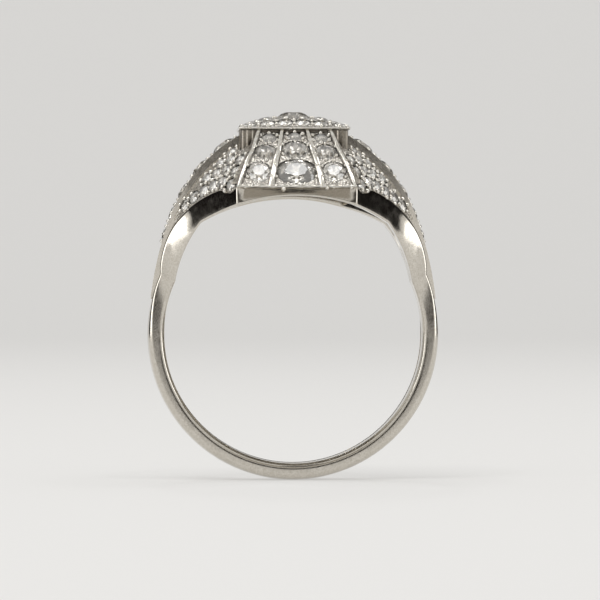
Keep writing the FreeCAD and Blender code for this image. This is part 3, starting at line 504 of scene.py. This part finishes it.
stones = []
for name in stone_nodes:
    spots, triangles, piece = loose_pieces(nodes[name].data)
    for number in np.unique(piece):
        stones.append((name, *measure_stone(spots, triangles[piece == number])))
print("stones:", len(stones), "widest", round(max(2 * stone[3] for stone in stones), 2), "mm")

# %% [markdown]
# ## Helpers for grains
# The setter raises a curl of metal at the edge of each stone and rounds it with a cupped beading
# tool. The grains are about a quarter of a millimetre wide and shine as points of light. There are
# hundreds, so each one is a little dome of few faces, and one array places them all.

# %% Helpers for grains
GRAIN_OUTSIDE = 0.06
SUNK_CROWN = 0.3 * 0.16


def merge_near(places, axes, reach):
    """Joins grains closer than reach: each group of near ones becomes one at their mean place."""
    kept = []
    kept_axes = []
    free = np.ones(len(places), dtype=bool)
    for first in range(len(places)):
        if free[first]:
            near = free & (np.linalg.norm(places - places[first], axis=1) < reach)
            free[near] = False
            kept.append(places[near].mean(axis=0))
            axis = axes[near].mean(axis=0)
            kept_axes.append(axis / np.linalg.norm(axis))
    return np.array(kept), np.array(kept_axes)


def dome(sides=8, rings=3):
    """A round grain: rings of points from its foot, below the metal, up to a point at the top."""
    turn = np.arange(sides) * 2 * math.pi / sides
    rise = np.linspace(-0.5, 1.15, rings)[:, None]
    width = np.cos(rise)
    body = np.stack(np.broadcast_arrays(width * np.cos(turn), width * np.sin(turn), np.sin(rise)),
                    axis=-1)
    points = np.concatenate([body.reshape(-1, 3), [[0, 0, 1.0]]])
    quads = grid_faces(rings, sides, close_columns=True)
    last = (rings - 1) * sides + np.arange(sides)
    top = np.stack([last, np.roll(last, -1), np.full(sides, rings * sides)], axis=1)
    return points, quads, top, np.arange(sides)[::-1]


def place_grains(places, axes, sizes):
    """One point array and face list of a dome at each place: place + size x (turned dome)."""
    points, quads, top, foot = dome()
    side = np.cross(axes, np.array([0.31, 0.83, 0.47]))
    side /= np.linalg.norm(side, axis=1)[:, None]
    frames = np.stack([side, np.cross(axes, side), axes], axis=1)
    spots = places[:, None, :] + sizes[:, None, None] * np.einsum("pi,nij->npj", points, frames)
    shift = (np.arange(len(places)) * len(points))[:, None, None]
    faces = []
    for shape in (quads, top, foot[None, :]):
        faces += (shape[None] + shift).reshape(-1, shape.shape[1]).tolist()
    return spots.reshape(-1, 3), faces


def grain_ring(stone, count, first):
    """Grains on the girdle's ellipse, a touch outside it, at the height of the metal."""
    _, axis, centre, half_along, half_across, along, across = stone
    turn = first + np.arange(count) * 2 * math.pi / count
    height = axis * SUNK_CROWN * 2 * half_across
    spots = (centre + height + np.outer(np.cos(turn) * (half_along + GRAIN_OUTSIDE), along)
             + np.outer(np.sin(turn) * (half_across + GRAIN_OUTSIDE), across))
    return spots, np.tile(axis, (count, 1))


print("corners of one grain:", len(dome()[0]))

# %% [markdown]
# ## Grains beside the stones
# A stone of ordinary size gets six grains, a large one eight. Where neighbours share a grain the
# two become one. Each is then lowered along its own axis until it sits on metal, and one that finds
# none is left out, so that no grain floats. Their sizes vary a little, as hand work does.

# %% Grains beside the stones
GRAIN = {"panel": 0.14, "pave": 0.155}
GRAIN_MEET = 0.2
GRAIN_DROP = 0.3
LARGE_STONE = 1.9


def metal_tree():
    """Search tree, in mm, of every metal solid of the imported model."""
    spots, faces, count = [], [], 0
    for name in metal_nodes:
        corners, triangles, _ = loose_pieces(nodes[name].data)
        spots.append(corners)
        faces.append(triangles + count)
        count += len(corners)
    return BVHTree.FromPolygons(np.concatenate(spots).tolist(), np.concatenate(faces).tolist())


def settle(places, axes, drop=GRAIN_DROP):
    """Lowers each grain along its axis to the metal. One with no metal within drop is left out."""
    down = [metal.ray_cast(place + drop * axis, -axis, 2 * drop)[0]
            for place, axis in zip(places, axes)]
    held = np.array([hit is not None for hit in down])
    return np.array([hit for hit in down if hit is not None]), axes[held]


metal = metal_tree()
groups = {"panel": [], "pave": []}
for stone in stones:
    in_panel = "lower" in stone[0] or "middle_" in stone[0] and "pave" not in stone[0]
    count = 8 if 2 * stone[4] > LARGE_STONE else 6
    groups["panel" if in_panel else "pave"].append(grain_ring(stone, count, math.pi / count))

chance = np.random.default_rng(7)
for group, rings in groups.items():
    spots = np.concatenate([ring[0] for ring in rings])
    axes = np.concatenate([ring[1] for ring in rings])
    spots, axes = settle(*merge_near(spots, axes, GRAIN_MEET))
    sizes = GRAIN[group] * chance.uniform(0.8, 1.15, len(spots))
    points, faces = place_grains(spots, axes, sizes)
    grains = make_piece(f"{group}_grains", points * MM, faces, bright_cut)
    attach(grains, "root")
    print(group, "grains:", len(spots))

# %% [markdown]
# ## Rounded outlines
# Hand-made metal has no razor edges: polishing rounds them. Every profile below is a polygon whose
# corners give way to short parabolas, so light catches a thin line along each edge.

# %% Helpers for profiles
SHARP_EDGE = math.radians(50)
ENDS = (("front", 1), ("back", -1))
HANDS = (("right", 1), ("left", -1))


def outline(*corners):
    """Puts the corners of many sections side by side: each corner is a pair of arrays."""
    return np.stack([np.stack(corner, axis=-1) for corner in corners], axis=1)


def soft_polygon(corners, cut, steps=5, between=2):
    """Rounds each corner c: the curve (1-s)^2 a + 2s(1-s) c + s^2 b, with a and b a cut from c."""
    def unit(way):
        return way / np.linalg.norm(way, axis=-1, keepdims=True)
    first = corners + unit(np.roll(corners, 1, axis=-2) - corners) * cut[..., None]
    last = corners + unit(np.roll(corners, -1, axis=-2) - corners) * cut[..., None]
    share = np.linspace(0, 1, steps)[:, None]
    turned = ((1 - share) ** 2 * first[..., None, :]
              + 2 * share * (1 - share) * corners[..., None, :] + share ** 2 * last[..., None, :])
    share = np.linspace(0, 1, between + 2)[1:-1, None]
    straight = (1 - share) * last[..., None, :] + share * np.roll(first, -1, axis=-2)[..., None, :]
    rounded = np.concatenate([turned, straight], axis=-2)
    return rounded.reshape(*corners.shape[:-2], -1, 2)


def arc(start, end, radius, shares):
    """Points of an arc from start to end. A positive radius makes it bulge right of its way."""
    start, end = np.array(start, float), np.array(end, float)
    way = end - start
    half = np.linalg.norm(way) / 2
    right = np.array([way[1], -way[0]]) / (2 * half)
    centre = (start + end) / 2 - right * math.copysign(math.sqrt(radius ** 2 - half ** 2), radius)
    first = math.atan2(*(start - centre)[::-1])
    turn = first + math.copysign(2 * math.asin(half / abs(radius)), radius) * np.asarray(shares)
    return centre + abs(radius) * np.stack([np.cos(turn), np.sin(turn)], axis=-1)


def tube_faces(rows, columns):
    """Quads of a tube of rows closed sections, and one face over each end."""
    quads = grid_faces(rows, columns, close_columns=True).tolist()
    return quads + [list(range(columns))[::-1], list(range((rows - 1) * columns, rows * columns))]


def hoop_faces(rows, columns):
    """Quads of a tube bent round until its last section meets its first."""
    return grid_faces(rows, columns, close_rows=True, close_columns=True).tolist()


def ring_piece(name, points, faces, replaced=(), material=platinum):
    """A metal piece of the ring in millimetres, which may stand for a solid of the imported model."""
    piece = make_piece(name, points * MM, faces, material)
    work = bmesh.new()
    work.from_mesh(piece.data)
    bmesh.ops.recalc_face_normals(work, faces=work.faces)
    work.to_mesh(piece.data)
    work.free()
    piece.data.set_sharp_from_angle(angle=SHARP_EDGE)
    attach(piece, "root")
    if replaced:
        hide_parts(*replaced)
    return piece


print("a quarter arc of radius 1:", arc((1, 0), (0, 1), 1, [0, 0.5, 1]).round(2).tolist())

# %% [markdown]
# ## Plan of the rails
# Seen from above, the front of each rail runs level under its panel, turns a corner, and sweeps
# back in an arc to the band. The corner is crisp and the joint with the band is filed smooth, so
# the plan is averaged over a narrow width at the corner and a wide one at the joint.

# %% Plan of the rails
BORE = 8.45
BAND_HALF_WIDTH = 1.125
HEAD_HALF_WIDTH = 3.85
HEAD_HALF_DEPTH = 6.4
SWEEP_RADIUS = 16.8
JUNCTION = math.radians(66)
SHARP = 0.07
FILED = 0.6
SWEEP_END = 7.95
inner_end = (BORE * math.sin(JUNCTION), BORE * math.cos(JUNCTION))
front_line = ((HEAD_HALF_WIDTH, -HEAD_HALF_DEPTH), (SWEEP_END, -BAND_HALF_WIDTH))


def plan_depth(reach, corner, end):
    """Depth of a rail's side in plan: level to the corner, then an arc that sweeps back to end."""
    swept = arc(corner, end, -SWEEP_RADIUS, np.linspace(0, 1, 60))
    return np.interp(reach, swept[:, 0], swept[:, 1])


def softened(reach, corner, end, width):
    """The mean of the plan over a width each way, which rounds the corners as filing does."""
    shifts = np.linspace(-1, 1, 15) * width[..., None]
    return plan_depth(np.abs(reach)[..., None] + shifts, corner, end).mean(axis=-1)


print("rails meet the band", round(inner_end[0], 2), "mm out")

# %% [markdown]
# ## Finger band
# The band is a bar of shallow D section, bent round a mandrel and soldered to the rails. Its sides
# are rounded by wear. Near the rails the filing turns the D into a square bar, so the section
# changes over the last degrees, and its sides follow the plan of the rails.

# %% Finger band
BAND_OUTER = 9.53
BAND_BEVEL = 0.14
BAND_CROWN = 0.15
BAND_BULGE = 0.008
BLEND = math.radians(24)
WORN_CUTS = np.array([0.26, 0.26, 0.22, 0.14, 0.14, 0.22])
FILED_CUTS = np.array([0.14, 0.14, 0.07, 0.07, 0.07, 0.07])

turn = np.linspace(JUNCTION, 2 * math.pi - JUNCTION, 181)
near_end = np.minimum(turn - JUNCTION, 2 * math.pi - JUNCTION - turn) / BLEND
square = 1 - np.clip(near_end, 0, 1)
square = square * square * (3 - 2 * square)
edge = BAND_OUTER - BAND_CROWN * (1 - square)
lower = np.full_like(turn, BORE + BAND_BEVEL)
inner = np.full_like(turn, BORE)
wide = np.full_like(turn, BAND_HALF_WIDTH)
narrow = wide - BAND_BEVEL
corners = outline((-wide, edge), (wide, edge), (wide, lower), (narrow, inner), (-narrow, inner),
                  (-wide, lower))
cut = WORN_CUTS + (FILED_CUTS - WORN_CUTS) * square[:, None]
section = soft_polygon(corners, cut, steps=9, between=4)
depth, radius = section[..., 0], section[..., 1]
crown = BAND_CROWN * (1 - square)[:, None] * (1 - (depth / BAND_HALF_WIDTH) ** 2)
share = (radius - BORE - BAND_BEVEL) / (edge[:, None] - BORE - BAND_BEVEL)
radius = radius + crown * np.clip(share, 0, 1) ** 3
bulge = 1 - ((radius - (BORE + BAND_OUTER) / 2) / ((BAND_OUTER - BORE) / 2)) ** 2
depth = depth * (1 + BAND_BULGE * bulge * (1 - square)[:, None])
reach = (radius + BORE) / 2 * np.abs(np.sin(turn))[:, None]
wider = -softened(reach, *front_line, np.full_like(reach, FILED)) / BAND_HALF_WIDTH - 1
depth = depth * (1 + wider * square[:, None])
points = np.stack([radius * np.sin(turn)[:, None], depth, radius * np.cos(turn)[:, None]], axis=-1)
band = ring_piece("finger_band", points, tube_faces(*section.shape[:2]), ["shank"])
print("band", [round(d / MM, 2) for d in band.dimensions])

# %% [markdown]
# ## Gallery rails from the front
# Two arched rails carry the head. From the front each one shows an arch below and a hump over each
# shoulder, then a leg that runs down to the band. The lower and the upper line are drawn as arcs and
# straight runs for the right half and mirrored to the left.

# %% Front view of the rails
RAIL_TOP = 9.5
TIP = (4.22, 9.13)
HUMP = (4.84, 9.37)
ARCH_SPRING = (6.07, 7.24)
ARCH_RADIUS = 11.7
LEG_RADIUS = 8.6
SHOULDER_RADIUS = 5.6
outer_end = (BAND_OUTER * math.sin(JUNCTION), BAND_OUTER * math.cos(JUNCTION))


def arch_height(reach):
    """Height of the arch under the head: a circle through its spring, highest in the middle."""
    centre = ARCH_SPRING[1] - math.sqrt(ARCH_RADIUS ** 2 - ARCH_SPRING[0] ** 2)
    return centre + np.sqrt(ARCH_RADIUS ** 2 - reach ** 2)


level = np.concatenate([np.linspace(0, 3.3, 8), np.linspace(3.4, HEAD_HALF_WIDTH, 8)])
dip = np.linspace(HEAD_HALF_WIDTH, TIP[0], 7)[1:]
climb = np.linspace(TIP[0], HUMP[0], 8)[1:]
start = np.linspace(HUMP[0], ARCH_SPRING[0], 30)
whole_leg = np.concatenate([
    np.stack([start, arch_height(start)], -1),
    arc(ARCH_SPRING, inner_end, -LEG_RADIUS, np.linspace(0, 1, 60))[1:]])
lengths = np.concatenate([[0], np.cumsum(np.linalg.norm(np.diff(whole_leg, axis=0), axis=1))])
shares = np.linspace(0, 1, 73)[1:]
leg = np.stack([np.interp(shares * lengths[-1], lengths, whole_leg[:, k]) for k in range(2)], -1)
reach = np.concatenate([level, dip, climb])
under = np.concatenate([np.stack([reach, arch_height(reach)], -1), leg])
over = np.concatenate([
    np.stack([level, np.full_like(level, RAIL_TOP)], -1),
    np.stack([dip, np.interp(dip, [HEAD_HALF_WIDTH, TIP[0]], [RAIL_TOP, TIP[1]])], -1),
    np.stack([climb, np.interp(climb, [TIP[0], HUMP[0]], [TIP[1], HUMP[1]])], -1),
    arc(HUMP, outer_end, -SHOULDER_RADIUS, shares)])
mirror = np.array([-1.0, 1.0])
under = np.concatenate([under[:0:-1] * mirror, under])
over = np.concatenate([over[:0:-1] * mirror, over])
print("rail sections:", len(under))

# %% [markdown]
# ## Gallery rails in the round
# Each point's height comes from the front view and its depth from the plan. The front face leans
# back a little under the panel. The edges are rounded less where the two rails draw together, and
# the legs are filed softer than the middle.

# %% Gallery rails
RAIL_THICKNESS = 0.75
RAIL_MEETING = 7.0
JOINT_STARTS = 6.6
LEAN = 0.16
LEAN_FADES = 0.5
FILING_GROWS = 1.2
OUTER_EDGE = 0.14
INNER_EDGES = (0.12, 0.14)
NO_ROOM = 0.02
FULL_ROOM = 0.4

back_line = ((HEAD_HALF_WIDTH - RAIL_THICKNESS / 2, -HEAD_HALF_DEPTH + RAIL_THICKNESS),
             (RAIL_MEETING, 0.0))
height = np.linalg.norm(over - under, axis=1)
middle = ((over + under) / 2)[:, 0]
on_leg = np.clip((np.abs(middle) - HUMP[0]) / FILING_GROWS, 0, 1)
width = SHARP + on_leg * (FILED - SHARP)
back_plan = softened(middle, *back_line, width)
thick = back_plan - softened(middle, *front_line, width)
zero = np.zeros_like(height)
corners = outline((zero, zero), (height, zero), (height, thick), (zero, thick))
apart = np.clip(-back_plan / FULL_ROOM, NO_ROOM, 1)
outer_cut = np.full_like(height, OUTER_EDGE)
cut = np.stack([outer_cut, outer_cut, INNER_EDGES[0] * apart, INNER_EDGES[1] * apart], axis=1)
section = soft_polygon(corners, cut, between=3)
up = section[..., 0] / height[:, None]
back = section[..., 1] / thick[:, None]
side_view = under[:, None] + up[..., None] * (over - under)[:, None]
width = np.broadcast_to(width[:, None], side_view.shape[:2])
at_joint = np.clip((np.abs(middle) - JOINT_STARTS) / (SWEEP_END - JOINT_STARTS), 0, 1)
reach = side_view[..., 0] - at_joint[:, None] * (side_view[..., 0] - under[:, :1]) / 2
near = softened(reach, *front_line, width)
far = np.minimum(softened(reach, *back_line, width), 0)
lean = LEAN * np.clip((HEAD_HALF_WIDTH - np.abs(side_view[..., 0])) / LEAN_FADES, 0, 1)
depth = near + back * (far - near) + lean * up * (1 - back)
points = np.stack([side_view[..., 0], depth, side_view[..., 1]], axis=-1)
for end, side in ENDS:
    rail = ring_piece(f"{end}_rail", points * np.array([1, side, 1]),
                      tube_faces(*section.shape[:2]), [f"{end}_gallery_rail"])
print("rail", [round(d / MM, 2) for d in rail.dimensions])

# %% [markdown]
# ## Collet
# The plaque sits on a rectangular collet, a strip of sheet bent to a box. Its corners are rounded
# where the strip was bent, and its short ends are fluted. The section of the sheet runs round a
# rounded rectangle, and the flutes push its outer face in.

# %% Collet
COLLET_HALF_LENGTH = 3.5
COLLET_HALF_DEPTH = 2.6
COLLET_WALL = 0.3
COLLET_BOTTOM = 11.7
COLLET_TOP = 13.3
SHEET_EDGE = 0.06
BENT_CORNER = 0.3
FLUTE_PITCH = 0.36
FLUTE_DEPTH = 0.035
FLUTES_START = 2.55
FLUTES_GROW = 0.2


def box_plan(half_length, half_depth, corner, **detail):
    """Rectangles with rounded corners, one for each pair of half sizes."""
    corners = outline((-half_length, -half_depth), (half_length, -half_depth),
                      (half_length, half_depth), (-half_length, half_depth))
    return soft_polygon(corners, np.full(corners.shape[:-1], corner), **detail)


def at_heights(plan, height):
    """The points of each rectangle lifted to its own height."""
    return np.concatenate([plan, np.broadcast_to(height, (*plan.shape[:2], 1))], axis=-1)


profile = soft_polygon(
    np.array([[0, COLLET_BOTTOM], [0, COLLET_TOP], [COLLET_WALL, COLLET_TOP],
              [COLLET_WALL, COLLET_BOTTOM]]), np.full(4, SHEET_EDGE), between=4)
inset = profile[:, 0]
plan = box_plan(COLLET_HALF_LENGTH - inset, COLLET_HALF_DEPTH - inset, BENT_CORNER, steps=7,
                between=110)
outward = plan / np.linalg.norm(plan, axis=-1, keepdims=True)
steps_round = np.linalg.norm(np.diff(plan, axis=1, append=plan[:, :1]), axis=-1)
way_round = np.cumsum(steps_round, axis=1)
at_end = (np.clip((np.abs(plan[..., 0]) - FLUTES_START) / FLUTES_GROW, 0, 1)
          * (inset < COLLET_WALL / 2)[:, None])
flute = FLUTE_DEPTH * (np.cos(2 * math.pi * way_round / FLUTE_PITCH) - 1) * at_end
plan = plan + flute[..., None] * outward
# The collet's material paints the shade under the plaque into its colour.
collet = ring_piece("collet", at_heights(plan, profile[:, None, 1:]),
                    hoop_faces(*plan.shape[:2]), ["plaque_collet"], unpolished_and_shaded)
print("collet", [round(d / MM, 2) for d in collet.dimensions])

# %% [markdown]
# ## Plates with seats
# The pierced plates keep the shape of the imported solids, with every seat in place. Each copy gets a
# narrow bevel, because the setter's graver leaves bright edges. Panels, flanks and plaque show the
# graver's strokes, and the ribs and walls are polished.

# %% Plates
PLATE_BEVEL = 0.035
BEVEL_FROM = math.radians(35)
FLAT_WITHIN = math.radians(0.5)
SHORTEST_EDGE = 1e-4


def softened_copy(node, width):
    """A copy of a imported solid, merged, with flat facets joined and a bevel on its sharp edges."""
    spots, triangles, _ = loose_pieces(nodes[node].data)
    mesh = bpy.data.meshes.new(node + "_soft")
    mesh.from_pydata(spots, [], triangles.tolist())
    work = bmesh.new()
    work.from_mesh(mesh)
    bmesh.ops.dissolve_degenerate(work, dist=SHORTEST_EDGE, edges=work.edges)
    bmesh.ops.dissolve_limit(work, angle_limit=FLAT_WITHIN, verts=work.verts, edges=work.edges)
    work.to_mesh(mesh)
    work.free()
    mesh.polygons.foreach_set("use_smooth", np.ones(len(mesh.polygons), dtype=bool))
    raw = bpy.data.objects.new(node + "_raw", mesh)
    bpy.context.scene.collection.objects.link(raw)
    bevel = raw.modifiers.new("soft_edges", "BEVEL")
    bevel.width = width
    bevel.segments = 2
    bevel.limit_method = "ANGLE"
    bevel.angle_limit = BEVEL_FROM
    bevel.harden_normals = True
    graph = bpy.context.evaluated_depsgraph_get()
    done = bpy.data.meshes.new_from_object(raw.evaluated_get(graph))
    bpy.data.objects.remove(raw)
    done.transform(((MM, 0, 0, 0), (0, MM, 0, 0), (0, 0, MM, 0), (0, 0, 0, 1)))
    done.materials.clear()
    done.materials.append(graver_cut if has_word(node, "panel", "flank", "plaque") else platinum)
    piece = bpy.data.objects.new(node + "_polished", done)
    bpy.context.scene.collection.objects.link(piece)
    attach(piece, "root")
    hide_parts(node)
    return piece


for name in metal_nodes:
    if has_word(name, "panel", "flank", "rib", "plaque", "wall") and name != "plaque_collet":
        plate = softened_copy(name, PLATE_BEVEL)
        print(name, "faces", len(plate.data.polygons))

# %% [markdown]
# ## Bars and frames
# Bright polished lines divide the stones. Two bars and two frame edges run down each panel. Both
# are low rounded strips that follow the panel's curve. They widen downward, the bars the most, as
# the lines that they follow spread apart.

# %% Bars and frames of the panels
PANEL_RADIUS = 8.9
PANEL_BEND = 0.32
STATIONS = 40
STRIP_PROUD = 0.05
STRIP_SUNK = 0.12
BAR_TOP, BAR_BOTTOM = 0.8, 1.66
FRAME_TOP, FRAME_BOTTOM = 2.3, 3.73
PANEL_TOP, PANEL_BOTTOM = 2.4, 3.85
# Half widths, from the panel's foot to its top, in the order of the sections.
BAR_HALVES = np.linspace(0.21, 0.11, STATIONS)
FRAME_HALVES = np.linspace(0.12, 0.1, STATIONS)
# Share of the half width that each corner gives up: the lower ones, and the upper ones that show.
LOWER_CUT, UPPER_CUT = 0.2, 0.55
slope = arc((-HEAD_HALF_DEPTH, RAIL_TOP), (-COLLET_HALF_DEPTH, COLLET_TOP), -PANEL_RADIUS,
            np.linspace(0, 1, STATIONS))
slope_way = np.gradient(slope, axis=0)
slope_way /= np.linalg.norm(slope_way, axis=1)[:, None]
slope_out = np.stack([-slope_way[:, 1], slope_way[:, 0]], axis=-1)
knee_depth = (COLLET_HALF_DEPTH + HEAD_HALF_DEPTH) / 2


def line_reach(top, bottom):
    """How far out a panel line lies: two straight runs that meet half way down."""
    knee = top + (bottom - top) * PANEL_BEND
    depths = [COLLET_HALF_DEPTH, knee_depth, HEAD_HALF_DEPTH]
    return np.interp(-slope[:, 0], depths, [top, knee, bottom])


def on_panel(centre, section):
    """Points of a section at each station: out from the line, and along the panel's normal."""
    place = slope[:, None] + section[..., 1:] * slope_out[:, None]
    return np.stack([centre[:, None] + section[..., 0], place[..., 0], place[..., 1]], axis=-1)


def strip(centre, half):
    """A low rounded strip: half its width to each side of the line, a touch proud of the panel."""
    low, high = np.full_like(half, -STRIP_SUNK), np.full_like(half, STRIP_PROUD)
    corners = outline((-half, low), (half, low), (half, high), (-half, high))
    cut = half[:, None] * np.array([LOWER_CUT, LOWER_CUT, UPPER_CUT, UPPER_CUT])
    return on_panel(centre, soft_polygon(corners, cut, between=1))


def four_times(name, points, material):
    """The same piece at the right and left of the front and of the back."""
    for end, side_y in ENDS:
        for hand, side_x in HANDS:
            ring_piece(f"{end}_{hand}_{name}", points * np.array([side_x, side_y, 1]),
                       tube_faces(*points.shape[:2]), material=material)


four_times("bar", strip(line_reach(BAR_TOP, BAR_BOTTOM), BAR_HALVES), bright_cut)
four_times("frame", strip(line_reach(FRAME_TOP, FRAME_BOTTOM), FRAME_HALVES), bright_cut)
print("strips of", STATIONS, "sections down each panel")

# %% [markdown]
# ## Slot floors
# A narrow slot parts each panel from the shoulders. A strip of metal lies at its bottom, so no
# daylight comes through, and it is painted near-black: painted shade that makes the slot look dark.
# Each strip follows the panel's edge.

# %% Slot floors
SLOT_DEPTH = 0.34
SLOT_PLATE = 0.12
SLOT_TUCK = 0.06
GAP_TOP, GAP_BOTTOM = 0.1, 0.37
# The floors start at this section, counted from the panel's foot.
SLOT_STARTS = 3
inner_edge = np.full(STATIONS, -SLOT_TUCK)
outer_edge = line_reach(GAP_TOP, GAP_BOTTOM) + SLOT_TUCK
top = np.full(STATIONS, -SLOT_DEPTH)
bottom = top - SLOT_PLATE
section = outline((inner_edge, bottom), (outer_edge, bottom), (outer_edge, top), (inner_edge, top))
floor = on_panel(line_reach(PANEL_TOP, PANEL_BOTTOM), section)[SLOT_STARTS:]
# Near-black strips: painted shade at the bottom of the slots.
four_times("slot_floor", floor, slot_painted_shade)
print("slot floors", SLOT_DEPTH, "mm down")

# %% [markdown]
# ## Ledge under each panel
# A thin wire finishes each panel's foot, where it meets the rail. It was filed by hand, so its
# thickness wanders a little: two sine waves do that. A few beads of solder were left along the
# front one.

# %% Ledge under each panel
LEDGE_SIZE = 0.09
LEDGE_OUT = 0.02
LEDGE_UP = 0.04
BEAD_UP = 0.06
BEAD_REACH = np.array([-3.3, -0.85, 0.35, 1.95, 2.35, 3.5])
BEAD_SIZE = np.array([0.1, 0.17, 0.08, 0.13, 0.1, 0.11])
run = np.linspace(-HEAD_HALF_WIDTH, HEAD_HALF_WIDTH, 60)
round_the_wire = np.linspace(0, 2 * math.pi, 10, endpoint=False)
thin = (LEDGE_SIZE + 0.012 * np.sin(run * 3.1) + 0.01 * np.sin(run * 7.7 + 1))[:, None]
points = np.stack(np.broadcast_arrays(
    run[:, None], -HEAD_HALF_DEPTH + LEDGE_OUT + thin * np.cos(round_the_wire),
    RAIL_TOP + LEDGE_UP + thin * np.sin(round_the_wire)), axis=-1)
for end, side in ENDS:
    ring_piece(f"{end}_ledge", points * np.array([1, side, 1]), tube_faces(*points.shape[:2]),
               material=bright_cut)

spots = np.stack(np.broadcast_arrays(
    BEAD_REACH, -HEAD_HALF_DEPTH + LEDGE_OUT, RAIL_TOP + BEAD_UP - BEAD_SIZE), axis=-1)
points, faces = place_grains(spots, np.tile([0.0, -1.0, 0.0], (len(spots), 1)), BEAD_SIZE)
ring_piece("ledge_beads", points, faces, material=bright_cut)
print("ledge about", 2 * LEDGE_SIZE, "mm thick, with", len(spots), "beads")

# %% [markdown]
# ## Rim of the plaque
# A thin wire goes round the top plaque and hides the joint between it and the collet. It is a round
# section run round a rectangle with tight corners.

# %% Rim of the plaque
RIM_WIRE = 0.08
RIM_TUCK = 0.02
RIM_UP = 0.09
RIM_CORNER = 0.12
grow = RIM_WIRE * np.cos(round_the_wire) - RIM_TUCK
plan = box_plan(COLLET_HALF_LENGTH + RIM_WIRE + grow, COLLET_HALF_DEPTH + RIM_WIRE + grow,
                RIM_CORNER, between=30)
height = (COLLET_TOP + RIM_UP + RIM_WIRE * np.sin(round_the_wire))[:, None, None]
rim = ring_piece("plaque_rim", at_heights(plan, height), hoop_faces(*plan.shape[:2]),
                 material=bright_cut)
print("rim", [round(d / MM, 2) for d in rim.dimensions])

# %% [markdown]
# ## Finish
# The last cell shows the colours as they are.

# %% Finish
bpy.context.scene.view_settings.view_transform = "Standard"
